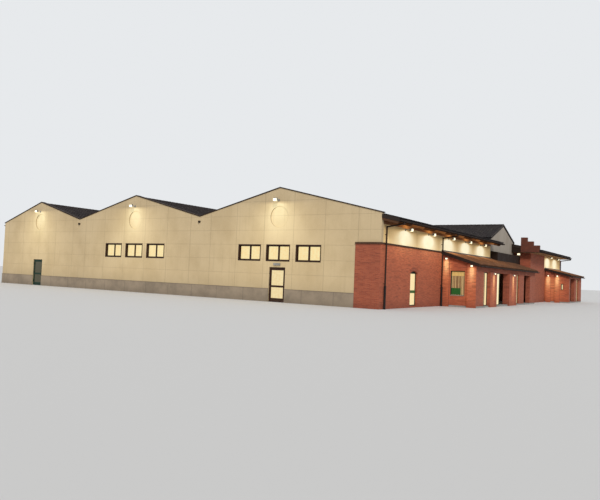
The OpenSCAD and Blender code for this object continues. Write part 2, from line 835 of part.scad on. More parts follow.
module entrance_window_glass() {
    color("lightblue") placed() {
        arch_panes();
        facing_x(porch_d - window_reveal, slim_1_y, floor_t) light_panes(slim_w, front_light_h, 2);
        facing_x(porch_d - side_light_set, entrance_y, floor_t)
            light_panes(side_light_w, front_light_h, 1);
        facing_x(porch_d - window_reveal, slim_2_y, floor_t) light_panes(slim_w, front_light_h, 2);
        facing_x(wing_porch_face - window_reveal, wing_slim_y, floor_t)
            light_panes(slim_w, front_light_h, 2);
        translate([end_window_x, front_len + window_reveal, end_sill])
            light_panes(end_window_w, end_light_h, 1);
        translate([slot_x, wing_porch_start + window_reveal, slot_z]) light_panes(slot_w, slot_h, 1);
    }
}

// Wall across the first porch, from height z0 up to its sloping roof
module porch_cross(x0, x1, y0, y1, z0) {
    along_y(y0, y1, [[x0, z0], [x1, z0], [x1, porch_seat(x1)], [x0, porch_seat(x0)]]);
}

// End walls of the first porch, the near one with window and pilasters
module porch_end_walls() {
    y0 = front_len;
    color("firebrick") placed() {
        union() {
            difference() {
                porch_cross(0, porch_d, y0, y0 + brick_t, floor_t);
                box(end_window_x, end_window_x + end_window_w, y0 - 1, y0 + brick_t + 1,
                    end_sill, porch_head);
            }
            porch_cross(0, end_window_x - pilaster_gap, y0 - pilaster_out, y0, 0);
            porch_cross(porch_d - 350, porch_d, y0 - pilaster_out, y0, 0);
        }
        porch_cross(0, porch_d, porch_end - brick_t, porch_end, floor_t);
    }
}

// Brick pier of a porch front, with a pilaster on its face where asked
module front_pier(face_x, y0, y1, pilaster) {
    box(face_x - brick_t, face_x, y0, y1, floor_t, porch_head);
    if (pilaster)
        box(face_x, face_x + pilaster_out, y0 + pilaster_gap, y1 - pilaster_gap, 0, porch_head);
}

module porch_front_piers() {
    inner_0 = front_len + brick_t;
    inner_1 = porch_end - brick_t;
    color("firebrick") placed() {
        front_pier(porch_d, inner_0, slim_1_y, false);
        union() front_pier(porch_d, slim_1_y + slim_w, entrance_y, true);
        union() front_pier(porch_d, entrance_y + entrance_w, slim_2_y, true);
        front_pier(porch_d, slim_2_y + slim_w, side_entrance_y, false);
        front_pier(porch_d, side_entrance_y + side_entrance_w, inner_1, false);
    }
}

// Beams over the porch fronts, their tops cut to the porch roofs
module porch_beams() {
    b0 = porch_d - brick_t;
    c0 = wing_porch_face - brick_t;
    color("firebrick") placed() {
        porch_cross(b0, porch_d, front_len + brick_t, porch_end - brick_t, porch_head);
        wing_porch_cross(c0, wing_porch_face, wing_porch_start + brick_t, wing_porch_end - brick_t,
            porch_head);
    }
}

module porch_roof() {
    color("darkslategray") placed() along_y(front_len - porch_verge, porch_end + porch_verge,
        [[0, porch_top - porch_roof_t], [porch_x, porch_edge - porch_roof_t],
         [porch_x, porch_edge], [0, porch_top]]);
}

module cross_gable_wall() {
    under = cross_eave - cross_roof_t;
    color("khaki") placed() along_x(-panel_t, 0,
        [[cross_y0, brick_h], [cross_y1, brick_h], [cross_y1, under],
         [cross_mid, under + cross_rise], [cross_y0, under]]);
}

// Roof of the cross gable, cut off where it meets the main slope
module cross_gable_roof() {
    under = cross_eave - cross_roof_t;
    color("darkslategray") placed() difference() {
        along_x(cross_back, cross_out,
            [[cross_y0, under], [cross_mid, under + cross_rise], [cross_y1, under],
             [cross_y1, cross_eave], [cross_mid, cross_top], [cross_y0, cross_eave]]);
        along_y(cross_y0 - 1, cross_y1 + 1,
            [[cross_back - 1, brick_h], [0, brick_h], [0, main_z(0) + bed],
             [cross_back - 1, main_z(cross_back - 1) + bed]]);
    }
}

// Boxed pent roof over the entrance, standing on the porch roof
module entrance_pent_roof() {
    color("dimgray") placed() along_y(eaves_len + 50, wing_start,
        [[0, porch_z(0) + bed], [pent_d, porch_z(pent_d) + bed], [pent_d, pent_top - pent_face],
         [0, pent_top]]);
}

// End walls of the wing, up to its sloping roof
module wing_end_walls() {
    outline = [[0, 0], [wing_x, 0], [wing_x, wing_seat(wing_x)], [0, wing_seat(0)]];
    color("firebrick") placed() {
        along_y(wing_start, wing_start + brick_t, outline);
        along_y(back_y, hall_len, outline);
    }
}

// Front wall of the wing: full height, then low beside its porch
module wing_front_wall() {
    x0 = wing_x - brick_t;
    color("firebrick") placed() {
        union() {
            along_y(wing_start + brick_t, wing_brick_end,
                [[x0, 0], [wing_x, 0], [wing_x, wing_seat(wing_x)], [x0, wing_seat(x0)]]);
            box(x0, wing_x, wing_brick_end, wing_porch_start + brick_t, 0, wing_brick_h);
        }
        box(x0, wing_x, wing_porch_end - brick_t, back_y, 0, wing_brick_h);
    }
}

module wing_upper_wall() {
    x0 = wing_x - panel_t;
    color("khaki") placed() along_y(wing_brick_end, back_y,
        [[x0, wing_porch_top], [wing_x, wing_porch_top], [wing_x, wing_seat(wing_x)],
         [x0, wing_seat(x0)]]);
}

// Brick crest that falls in three steps along the wing's verge
module stepped_crest() {
    x1 = crest_x0 + crest_w;
    x2 = x1 + crest_w;
    base = soffit_z + soffit_t;
    z2 = crest_top - crest_step;
    z3 = z2 - crest_step;
    color("firebrick") placed() along_y(wing_verge_y, wing_verge_y + crest_t,
        [[crest_x0, base], [crest_x1, base], [crest_x1, z3], [x2, z3], [x2, z2], [x1, z2],
         [x1, crest_top], [crest_x0, crest_top]]);
}

// Room for the crest in the wing's roof and eaves
module crest_cut() {
    box(crest_x0, crest_x1, wing_verge_y - 1, wing_verge_y + crest_t, soffit_z + soffit_t, crest_top);
}

module wing_roof() {
    color("darkslategray") placed() difference() {
        union() {
            along_y(wing_start, back_y,
                [[wing_in_x, wing_z(wing_in_x)], [0, wing_z(0)], [0, wing_z(0) - roof_t],
                 [wing_in_x, wing_z(wing_in_x) - roof_t]]);
            along_y(wing_verge_y, hall_len,
                [[0, wing_z(0)], [wing_edge_x, wing_edge_z], [wing_edge_x, wing_edge_z - roof_t],
                 [0, wing_z(0) - roof_t]]);
        }
        crest_cut();
    }
}

// Closed box under the wing's overhang, with a level soffit
module wing_eaves_box() {
    z_wall = wing_seat(wing_x);
    color("tan") placed() difference() {
        union() {
            along_y(wing_verge_y, hall_len,
                [[wing_x, soffit_z], [wing_edge_x, soffit_z], [wing_edge_x, wing_seat(wing_edge_x)],
                 [wing_x, z_wall]]);
            along_y(wing_verge_y, wing_start,
                [[0, soffit_z], [wing_x, soffit_z], [wing_x, z_wall], [0, wing_seat(0)]]);
        }
        crest_cut();
    }
}

// Wall across the second porch, from height z0 up to its sloping roof
module wing_porch_cross(x0, x1, y0, y1, z0) {
    along_y(y0, y1, [[x0, z0], [x1, z0], [x1, wing_porch_seat(x1)], [x0, wing_porch_seat(x0)]]);
}

// End walls of the second porch, the near one with pilasters and a small slot
module wing_porch_end_walls() {
    y0 = wing_porch_start;
    color("firebrick") placed() {
        union() {
            difference() {
                wing_porch_cross(wing_x, wing_porch_face, y0, y0 + brick_t, floor_t);
                box(slot_x, slot_x + slot_w, y0 - 1, y0 + brick_t + 1, slot_z, slot_z + slot_h);
            }
            for (x = [wing_x + 65, wing_x + 550])
                wing_porch_cross(x, x + 270, y0 - pilaster_out, y0, 0);
        }
        wing_porch_cross(wing_x, wing_porch_face, wing_porch_end - brick_t, wing_porch_end, floor_t);
    }
}

module wing_porch_piers() {
    color("firebrick") placed() {
        front_pier(wing_porch_face, wing_porch_start + brick_t, wing_door_y, false);
        front_pier(wing_porch_face, wing_door_y + wing_door_w, wing_slim_y, false);
        front_pier(wing_porch_face, wing_slim_y + slim_w, wing_porch_end - brick_t, false);
    }
}

module wing_porch_roof() {
    color("darkslategray") placed() along_y(wing_porch_start - porch_verge, wing_porch_end + porch_verge,
        [[wing_x, wing_porch_top - porch_roof_t], [wing_porch_x, wing_porch_edge - porch_roof_t],
         [wing_porch_x, wing_porch_edge], [wing_x, wing_porch_top]]);
}

// Roof of the bay beside the front: over the front's eaves, then back to the cross
// gable's wall, then back to the edge of the wing's roof
module roof_a_part(y0, y1, x1) {
    along_y(y0, y1, [[valley_a, eave_h], [ridge_a_x, eave_h + rise_a], [x1, main_z(x1)],
                     [x1, main_z(x1) - roof_t], [ridge_a_x, roof_under + rise_a],
                     [valley_a, roof_under]]);
}

module roof_a() {
    color("darkslategray") placed() union() {
        along_y(0, panel_t, [[0, eave_h], [eaves_out, eaves_z], [eaves_out, eaves_z - roof_t],
                             [0, roof_under]]);
        roof_a_part(panel_t, eaves_len, eaves_out);
        roof_a_part(eaves_len, wing_start, -panel_t);
        roof_a_part(wing_start, back_y, wing_in_x);
    }
}

module gable_roof(x0, z0, x1, rise) {
    mid_x = (x0 + x1) / 2;
    along_y(panel_t, back_y, [[x0, z0], [mid_x, eave_h + rise], [x1, eave_h], [x1, roof_under],
                              [mid_x, roof_under + rise], [x0, z0 - roof_t]]);
}

module roof_b() {
    color("darkslategray") placed() gable_roof(valley_b, eave_h, valley_a, rise_b);
}

module roof_c() {
    color("darkslategray") placed() gable_roof(far_x, far_z, valley_b, rise_c);
}

// Rafter ends under the overhang of the entrance front
module eaves_rafters() {
    n = floor((eaves_len - rafter_w) / rafter_pitch);
    x1 = eaves_out - 40;
    color("saddlebrown") placed() for (i = [0:n])
        translate([0, i * rafter_pitch, 0])
            along_y(0, rafter_w, [[0, main_seat(0)], [0, main_seat(0) - rafter_d],
                                  [x1 - 60, main_seat(x1) - rafter_d], [x1, main_seat(x1) - 30],
                                  [x1, main_seat(x1)]]);
}

// Filled outline of a half-round gutter hung on a roof edge that faces +X
module gutter_outline(x, z) {
    difference() {
        translate([x + gutter_r - gutter_seat, z - gutter_drop]) circle(r = gutter_r);
        translate([x - gutter_r, z - gutter_drop]) square(4 * gutter_r);
        translate([x - gutter_r, z - 3 * gutter_r]) square([gutter_r, 4 * gutter_r]);
    }
}

// Half-round gutter with a stop at each end
module gutter(x, y0, y1, z) {
    translate([0, y1, 0]) rotate([90, 0, 0]) difference() {
        linear_extrude(y1 - y0) gutter_outline(x, z);
        translate([x + gutter_r - gutter_seat, z - gutter_drop, gutter_t])
            cylinder(r = gutter_r - gutter_t, h = y1 - y0 - 2 * gutter_t);
    }
}

// Round spout of a valley gutter, for a wall that faces -Y
module spout() {
    rotate([90, 0, 0]) difference() {
        cylinder(r = spout_r, h = spout_out);
        translate([0, 0, gutter_t]) cylinder(r = spout_r - gutter_t, h = spout_out);
    }
}

module gutters() {
    color("dimgray") placed() {
        gutter(eaves_out, 0, eaves_len, eaves_z);
        gutter(wing_edge_x, wing_verge_y, hall_len, wing_edge_z);
        gutter(porch_x, front_len - porch_verge, porch_end + porch_verge, porch_edge);
        gutter(wing_porch_x, wing_porch_start - porch_verge, wing_porch_end + porch_verge, wing_porch_edge);
        mirror([1, 0, 0]) gutter(-far_x, 0, hall_len, far_z);
        for (x = [valley_a, valley_b])
            translate([x, 0, eave_h - spout_drop]) spout();
    }
}

// Downpipe with a swan neck from a gutter back to the wall, clips and a heavy foot
module downpipe(wall_x, y, edge_x, edge_z) {
    gx = edge_x + gutter_r - gutter_seat;
    gz = edge_z - gutter_drop;
    px = wall_x + pipe_out;
    z_top = gz - gutter_r - 60;
    z_bend = z_top - 0.15 * (gx - px);
    run = norm([gx - px, z_top - z_bend]);
    difference() {
        union() {
            bar(px, y, 0, z_bend, pipe_r);
            bar(px, y, 0, foot_h, foot_r);
            translate([px, y, z_bend]) sphere(r = pipe_r + elbow_out);
            translate([px, y, z_bend]) rotate([0, atan2(gx - px, z_top - z_bend), 0])
                cylinder(r = pipe_r, h = run);
            translate([gx, y, z_top]) sphere(r = pipe_r + elbow_out);
            bar(gx, y, z_top, gz, pipe_r);
            for (z = [foot_h + 300, z_bend - 250])
                box(wall_x, px, y - 12, y + 12, z - 12, z + 12);
        }
        translate([gx, y - foot_r - 1, gz]) rotate([-90, 0, 0])
            cylinder(r = gutter_r + pipe_gap, h = 2 * foot_r + 2);
    }
}

// Straight downpipe on the far side wall
module side_pipe(y) {
    px = far_x - pipe_out;
    gx = far_x - gutter_r + gutter_seat;
    gz = far_z - gutter_drop;
    difference() {
        union() {
            bar(px, y, 0, gz - pipe_seat, pipe_r);
            bar(px, y, 0, foot_h, foot_r);
            for (z = [foot_h + 300, gz - 350])
                box(px, far_x, y - 12, y + 12, z - 12, z + 12);
        }
        translate([gx, y - foot_r - 1, gz]) rotate([-90, 0, 0])
            cylinder(r = gutter_r + pipe_gap, h = 2 * foot_r + 2);
    }
}

module downpipes() {
    color("dimgray") placed() {
        downpipe(0, pipe_1_y, eaves_out, eaves_z);
        downpipe(0, pipe_2_y, eaves_out, eaves_z);
        downpipe(wing_x, wing_pipe_y, wing_edge_x, wing_edge_z);
        for (y = [hall_len / 8, hall_len / 2, hall_len * 7 / 8])
            side_pipe(y);
    }
}

// Floodlight on an arm, for a wall that faces -Y
module floodlight() {
    back = -lamp_reach + 70;
    box(-30, 30, -10, 0, -40, 40);
    translate([0, -5, 0]) rotate([90, 0, 0]) cylinder(r = 9, h = -back);
    along_x(-lamp_w / 2, lamp_w / 2,
        [[-lamp_reach, -20], [-lamp_reach + 15, -45], [back, -45], [back, 30], [-lamp_reach + 20, 45]]);
}

// Small bulkhead lamp, for a wall that faces -Y
module bulkhead() {
    along_x(-45, 45, [[0, -35], [-40, -35], [-50, -5], [-32, 26], [0, 35]]);
}

module outside_lamps() {
    pier_2_mid = (slim_1_y + slim_w + entrance_y) / 2;
    pier_3_mid = (entrance_y + entrance_w + slim_2_y) / 2;
    front_x = porch_d + pilaster_out;
    color("silver") placed() {
        for (m = [[ridge_a_x, rise_a], [mid_b, rise_b], [mid_c, rise_c]])
            translate([m[0] + lamp_side, 0, eave_h + m[1] - lamp_drop]) union() floodlight();
        for (i = [0:4])
            facing_x(0, lamp_first + i * lamp_pitch, eaves_lamp_z) union() floodlight();
        for (y = wing_lamps)
            facing_x(wing_x, y, wing_lamp_z) union() floodlight();
        translate([wing_side_lamp_x, wing_start, wing_lamp_z]) union() floodlight();
        translate([ridge_a_x, 0, door_h + 110]) bulkhead();
        for (lamp = end_lamps)
            translate([lamp[0], front_len - pilaster_out, porch_seat(lamp[0]) - lamp[1]]) bulkhead();
        for (y = [pier_2_mid, pier_3_mid])
            facing_x(front_x, y, pier_lamp_z) bulkhead();
        for (x = wing_end_lamps)
            translate([x, wing_porch_start - pilaster_out, wing_end_lamp_z]) bulkhead();
    }
}

floor_slab();
plinth_bands();
gable_lower_walls();
bay_a_upper_wall();
bay_b_wall();
bay_c_upper_wall();
back_wall();
far_side_wall();
gable_caps();
gable_window_frames();
gable_window_glass();
bay_a_door_frame();
bay_a_door_leaf();
bay_a_door_glass();
bay_c_door_frame();
bay_c_door_leaf();
bay_c_door_glass();
columns();
beams();
front_brick_wall();
corner_brick_facing();
front_upper_wall();
front_copings();
entrance_window_frames();
entrance_window_glass();
porch_end_walls();
porch_front_piers();
porch_beams();
porch_roof();
cross_gable_wall();
cross_gable_roof();
entrance_pent_roof();
wing_end_walls();
wing_front_wall();
wing_upper_wall();
stepped_crest();
wing_roof();
wing_eaves_box();
wing_porch_end_walls();
wing_porch_piers();
wing_porch_roof();
roof_a();
roof_b();
roof_c();
eaves_rafters();
gutters();
downpipes();
outside_lamps();
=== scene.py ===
"""Dresses the supermarket building: tiles, trims, lamps and finishes over its fixed frame.

All lengths are in metres at half the real size. X points out of the entrance front,
-Y out of the gable front and Z up.
"""
import math
from types import SimpleNamespace

import bmesh
import bpy
from mathutils import Matrix, Vector


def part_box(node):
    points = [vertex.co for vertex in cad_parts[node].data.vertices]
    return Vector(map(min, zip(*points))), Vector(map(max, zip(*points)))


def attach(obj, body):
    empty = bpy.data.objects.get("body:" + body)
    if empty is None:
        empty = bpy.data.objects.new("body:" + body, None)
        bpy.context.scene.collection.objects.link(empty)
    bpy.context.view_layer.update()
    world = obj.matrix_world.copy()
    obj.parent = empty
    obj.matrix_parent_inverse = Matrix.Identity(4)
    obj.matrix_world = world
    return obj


bl_info = {
    "name": "Supermarket Building",
    "version": (1, 0, 0),
    "blender": (4, 5, 0),
    "location": "View3D > Sidebar > Store",
    "description": "Lays roof tiles, trims and finishes on a half-size supermarket building",
    "category": "Object",
}

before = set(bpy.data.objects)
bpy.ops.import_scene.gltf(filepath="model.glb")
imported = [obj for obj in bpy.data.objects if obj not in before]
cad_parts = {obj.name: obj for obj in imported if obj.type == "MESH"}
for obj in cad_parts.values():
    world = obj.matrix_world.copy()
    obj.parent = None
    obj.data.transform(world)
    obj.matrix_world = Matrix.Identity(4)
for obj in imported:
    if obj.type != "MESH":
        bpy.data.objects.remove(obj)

SLAB = 0.110            # upright thickness of the roof slabs
PORCH_SLAB = 0.090      # upright thickness of the porch roofs
CROSS_RISE = 0.770      # ridge of the cross gable above its eaves
PILASTER_OUT = 0.060    # how far the porches' pilasters stand out of their end walls
GUTTER_R = 0.045        # radius of the gutters
GUTTER_SEAT = 0.006     # how far a gutter's round is set back into its roof edge
GUTTER_DROP = 0.050     # centre of the gutters below the roof edge
VALLEY_W = 0.110        # width of a valley gutter to either side
VALLEY_GAP = 0.070      # and how much of it the tiles leave open
RECESS_Z = 2.970        # centre of the round recesses in the gables
RECESS_R = 0.375        # and their radius
ARCH_Y = 2.390          # start of the arched window, from the gable front
ARCH_W = 0.620          # its width
ARCH_SPRING = 1.190     # height at which its arch starts
ARCH_RISE = 0.080       # rise of the arch
END_X = 0.335           # start of the porch end window, from the entrance front
END_W = 0.565           # its width
END_SILL = 0.425        # height of its sill

FLOOD_DROP = 0.380      # floodlights of the gables, below the ridges
FLOOD_SET = 0.040       # and how far they stand to one side of them
GLASS_DROP = 0.045      # their glass, below that
EAVES_LAMP_Z = 2.635    # height of the floodlights under the front eaves
WING_LAMP_DROP = 0.075  # floodlights of the wing, below its boarded eaves

# Painted pools of lamp light on a wall: amount, reach, throat, narrowing and fall
GABLE_POOL = (0.50, 0.40, 0.22, 1.1, 0.33)
EAVES_POOL = (0.24, 0.12, 0.05, 0.14, 0.50)
BULKHEAD_POOL = (0.090, 0.05, 0.30, 4.2, 0.35)


# Places on the building, read from its frame

def low(node):
    """Lowest corner of a node."""
    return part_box(node)[0]


def high(node):
    """Highest corner of a node."""
    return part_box(node)[1]


def lines():
    """The main lines of the building that the pieces are set out from."""
    door_lo, door_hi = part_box("bay_a_door_frame")
    valley_a, valley_b, far = high("roof_b").x, low("roof_b").x, low("roof_c").x
    return SimpleNamespace(
        eave=low("roof_b").z + SLAB,
        far_eave=low("roof_c").z + SLAB,
        front=high("front_brick_wall").x,
        gable=low("bay_b_wall").y,
        inner=low("roof_b").y,
        back=high("roof_b").y,
        end=high("back_wall").y,
        valley_a=valley_a,
        valley_b=valley_b,
        far=far,
        mid={"a": (door_lo.x + door_hi.x) / 2, "b": (valley_a + valley_b) / 2,
             "c": (valley_b + far) / 2},
        ridge={bay: high("roof_" + bay).z for bay in "abc"},
    )


def main_fall(at):
    """Fall of the first bay's roof towards the front, for each metre."""
    return (at.ridge["a"] - at.eave) / (at.front - at.mid["a"])


def main_top(x):
    """Height of the first bay's roof over the front, at a given x."""
    at = lines()
    return at.eave - main_fall(at) * (x - at.front)


def wing_top(x):
    """Height of the wing's roof at a given x."""
    lo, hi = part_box("wing_roof")
    return hi.z - (hi.z - (lo.z + SLAB)) / (hi.x - lo.x) * (x - lo.x)


def eaves_lamps():
    """Place of the first floodlight under the front eaves, their pitch and their number."""
    return lines().gable + 1.830, 2.100, 5


def wing_lamps():
    """Place of the first floodlight on the wing's front, their pitch and their number."""
    lo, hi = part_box("wing_porch_end_walls")
    start = lo.y + PILASTER_OUT
    first, second = (start + share * (hi.y - start) for share in (0.134, 0.637))
    return first, second - first, 2


def wing_lamp_z():
    """Height of the floodlights on the wing."""
    return low("wing_eaves_box").z - WING_LAMP_DROP


def small_lamps():
    """Places of the bulkhead lamps, each with whether its wall faces X."""
    at = lines()
    wing, end = high("wing_front_wall").x, low("wing_porch_end_walls").y
    places = [((at.front + x, low("porch_end_walls").y, z), False)
              for x, z in ((0.1875, 1.8306), (1.175, 1.5743))]
    places += [((at.front + 1.410, at.gable + y, 1.335), True) for y in (7.515, 10.540)]
    return places + [((wing + x, end, 1.500), False) for x in (0.200, 0.685)]


# Shaping

def verts_in(geom):
    """The vertices among what an operator gives back."""
    return [g for g in geom if isinstance(g, bmesh.types.BMVert)]


def add_box(bm, lo, hi):
    """Adds a box between two corners and returns its vertices."""
    lo, hi = Vector(lo), Vector(hi)
    place = Matrix.Translation((lo + hi) / 2) @ Matrix.Diagonal((*(hi - lo), 1))
    return bmesh.ops.create_cube(bm, size=1, matrix=place)["verts"]


def add_rake(bm, start, stop, across, depth):
    """Adds a sloping board with its top edge from start to stop, as thick as across."""
    way, across, rise = Vector(stop) - Vector(start), Vector(across), Vector((0, 0, depth))
    place = Matrix((way, across, rise)).transposed().to_4x4()
    place.translation = Vector(start) + (way + across - rise) / 2
    bmesh.ops.create_cube(bm, size=1, matrix=place)


def extrude(bm, edges, step):
    """Extrudes edges by a step and returns the edges at its end."""
    made = bmesh.ops.extrude_edge_only(bm, edges=edges)["geom"]
    moved = verts_in(made)
    bmesh.ops.translate(bm, vec=step, verts=moved)
    return [g for g in made if isinstance(g, bmesh.types.BMEdge)
            and all(v in moved for v in g.verts)]


def repeat(bm, step, count):
    """Copies all that a bmesh holds so that it stands count times, one step apart."""
    cell = bm.verts[:] + bm.edges[:] + bm.faces[:]
    for i in range(1, count):
        made = bmesh.ops.duplicate(bm, geom=cell)["geom"]
        bmesh.ops.translate(bm, vec=Vector(step) * i, verts=verts_in(made))


def join(whole, bm):
    """Puts what a bmesh holds into another and frees it."""
    mesh = bpy.data.meshes.new("run")
    bm.to_mesh(mesh)
    bm.free()
    whole.from_mesh(mesh)
    bpy.data.meshes.remove(mesh)


def make_object(name, bm, finish):
    """Turns a bmesh into an object of the scene."""
    mesh = bpy.data.meshes.new(name)
    bm.to_mesh(mesh)
    bm.free()
    mesh.materials.append(finish)
    made = bpy.data.objects.new(name, mesh)
    bpy.context.scene.collection.objects.link(made)
    return made


def make_piece(name, bm, finish, bevel=0.0):
    """Turns a bmesh into a finished piece that rides on the building."""
    piece = make_object(name, bm, finish)
    if bevel:
        rounding = piece.modifiers.new("Rounded edges", "BEVEL")
        rounding.width = bevel
        rounding.segments = 2
        rounding.limit_method = "ANGLE"
    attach(piece, "building")


def make_boxes(name, boxes, finish, bevel=0.0):
    """Makes a piece of boxes, each between two corners."""
    bm = bmesh.new()
    for lo, hi in boxes:
        add_box(bm, lo, hi)
    make_piece(name, bm, finish, bevel)


def dress(node, finish):
    """Gives a node of the frame its finish."""
    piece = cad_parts[node]
    piece.data.materials.clear()
    piece.data.materials.append(finish)
    for used in piece.material_slots:
        used.material = finish


# Shader arithmetic

class Link:
    """An output of a look's nodes, with arithmetic."""

    def __init__(self, look, socket):
        self.look = look
        self.socket = socket

    def math(self, operation, *others):
        return self.look.math(operation, self, *others)

    def __add__(self, other):
        return self.math("ADD", other)

    def __sub__(self, other):
        return self.math("SUBTRACT", other)

    def __rsub__(self, other):
        return self.look.math("SUBTRACT", other, self)

    def __mul__(self, other):
        return self.math("MULTIPLY", other)

    def __truediv__(self, other):
        return self.math("DIVIDE", other)

    def __rtruediv__(self, other):
        return self.look.math("DIVIDE", other, self)

    __radd__ = __add__
    __rmul__ = __mul__

    def above(self, limit):
        """1 where the value is over the limit."""
        return self.math("GREATER_THAN", limit)

    def below(self, limit):
        """1 where the value is under the limit."""
        return self.math("LESS_THAN", limit)


class Look:
    """The nodes of a material, or of the sky."""

    def __init__(self, name, kind="materials", last="OutputMaterial"):
        self.holder = getattr(bpy.data, kind).new(name)
        self.holder.use_nodes = True
        self.tree = self.holder.node_tree
        self.tree.nodes.clear()
        self.last = self.tree.nodes.new("ShaderNode" + last)

    def node(self, kind, settings=None, inputs=None, out=0):
        """Adds a shader node: its settings first, then values or links for its sockets."""
        made = self.tree.nodes.new("ShaderNode" + kind)
        for key, value in (settings or {}).items():
            setattr(made, key, value)
        for key, value in (inputs or {}).items():
            if isinstance(value, Link):
                self.tree.links.new(value.socket, made.inputs[key])
            else:
                made.inputs[key].default_value = value
        return Link(self, made.outputs[out])

    def math(self, operation, *values):
        return self.node("Math", {"operation": operation}, dict(enumerate(values)))

    def split(self, vector):
        """X, Y and Z of a vector."""
        made = self.tree.nodes.new("ShaderNodeSeparateXYZ")
        self.tree.links.new(vector.socket, made.inputs[0])
        return [Link(self, made.outputs[i]) for i in range(3)]

    def vector(self, x=0.0, y=0.0, z=0.0):
        return self.node("CombineXYZ", None, {0: x, 1: y, 2: z})

    def place(self):
        """The place on the building, and its X, Y and Z."""
        spot = self.node("TexCoord", out="Object")
        return spot, *self.split(spot)

    def facing(self):
        """X, Y and Z of the direction that the surface faces."""
        return self.split(self.node("NewGeometry", out="Normal"))

    def along(self, x, y):
        """Distance along a wall, whichever way it faces, and 1 where it faces X."""
        side = self.facing()[0].math("ABSOLUTE").above(0.5)
        return x + (y - x) * side, side

    def mix(self, amount, first, second):
        """Colour between two colours."""
        return self.node("Mix", {"data_type": "RGBA"},
                         {0: amount, 6: first, 7: second}, out=2)

    def soften(self, value, start, stop, first=0.0, last=1.0):
        """Smooth step of a value between two limits."""
        return self.node("MapRange", {"interpolation_type": "SMOOTHSTEP"},
                         {0: value, 1: start, 2: stop, 3: first, 4: last})

    def coats(self, base, colour, *coats):
        """Colour under coats, each from a pattern, its limits, a share of colour and an amount."""
        for pattern, start, stop, share, amount in coats:
            base = self.mix(self.soften(pattern, start, stop) * amount, base, rgb(colour, share))
        return base

    def rough(self, pattern, first, last):
        """Roughness that follows a pattern."""
        return self.soften(pattern, 0.3, 0.8, first, last)

    def noise(self, vector, scale, detail, rough):
        return self.node("TexNoise", None,
                         {"Vector": vector, "Scale": scale, "Detail": detail, "Roughness": rough})

    def random(self, *cells):
        """A value for each cell of a pattern, from places and the cells' sizes."""
        steps = [(place / size).math("FLOOR") for place, size in cells]
        return self.node("TexWhiteNoise", {"noise_dimensions": "3D"},
                         {"Vector": self.vector(*steps)})

    def edge(self, along, pitch, start=0.0):
        """Distance to the nearest of the lines that repeat along an axis."""
        off = ((along - start) / pitch).math("FRACT")
        return off.math("MINIMUM", 1.0 - off) * pitch

    def joint(self, along, pitch, width, start=0.0):
        """1 on thin lines that repeat along an axis."""
        return self.soften(self.edge(along, pitch, start), width * 0.35, width * 0.75, 1.0, 0.0)

    def pool(self, along, below, amount, reach, throat, narrow, fall):
        """Painted pool of lamp light on a wall, from the sideways and downward distances to the
        lamp.
        """
        spread = along * along * narrow / (below + throat) + below * below * fall + reach
        return self.soften(below, -0.04, 0.12) * amount / spread

    def row(self, along, first, pitch, count):
        """Distance along a wall to the nearest lamp of a row."""
        step = ((along - first) / pitch + 0.5).math("FLOOR")
        step = step.math("MAXIMUM", 0.0).math("MINIMUM", count - 1.0)
        return along - first - step * pitch

    def lit(self, colour, painted_lamp_light, rim, core):
        """Emission sockets that paint the lamps' light onto a surface as a glow, warmer at the
        pool's rim.
        """
        tint = self.mix(painted_lamp_light, rgb(rim), rgb(core))
        warm = self.node("Mix", {"data_type": "RGBA", "blend_type": "MULTIPLY"},
                         {0: 1.0, 6: colour, 7: tint}, out=2)
        return {"Emission_Color": self.mix(painted_lamp_light, rgb((0.0, 0.0, 0.0)), warm),
                "Emission_Strength": 1.0}

    def bump(self, height, distance, strength, under=None):
        inputs = {"Height": height, "Distance": distance, "Strength": strength}
        if under is not None:
            inputs["Normal"] = under
        return self.node("Bump", None, inputs)

    def finish(self, colour, rough, normal=None, **sockets):
        """Ends the material in one principled surface."""
        inputs = {key.replace("_", " "): value for key, value in sockets.items()}
        inputs.update({"Base Color": colour, "Roughness": rough})
        if normal is not None:
            inputs["Normal"] = normal
        return self.end(self.node("BsdfPrincipled", None, inputs))

    def end(self, surface):
        """Links the last shader and returns the material or the sky."""
        self.tree.links.new(surface.socket, self.last.inputs["Surface"])
        return self.holder


def rgb(colour, share=1.0):
    """A colour with its alpha, scaled by one share or by one for each channel."""
    shares = share if isinstance(share, tuple) else (share,) * 3
    return (*(c * s for c, s in zip(colour, shares)), 1.0)


# Finishes

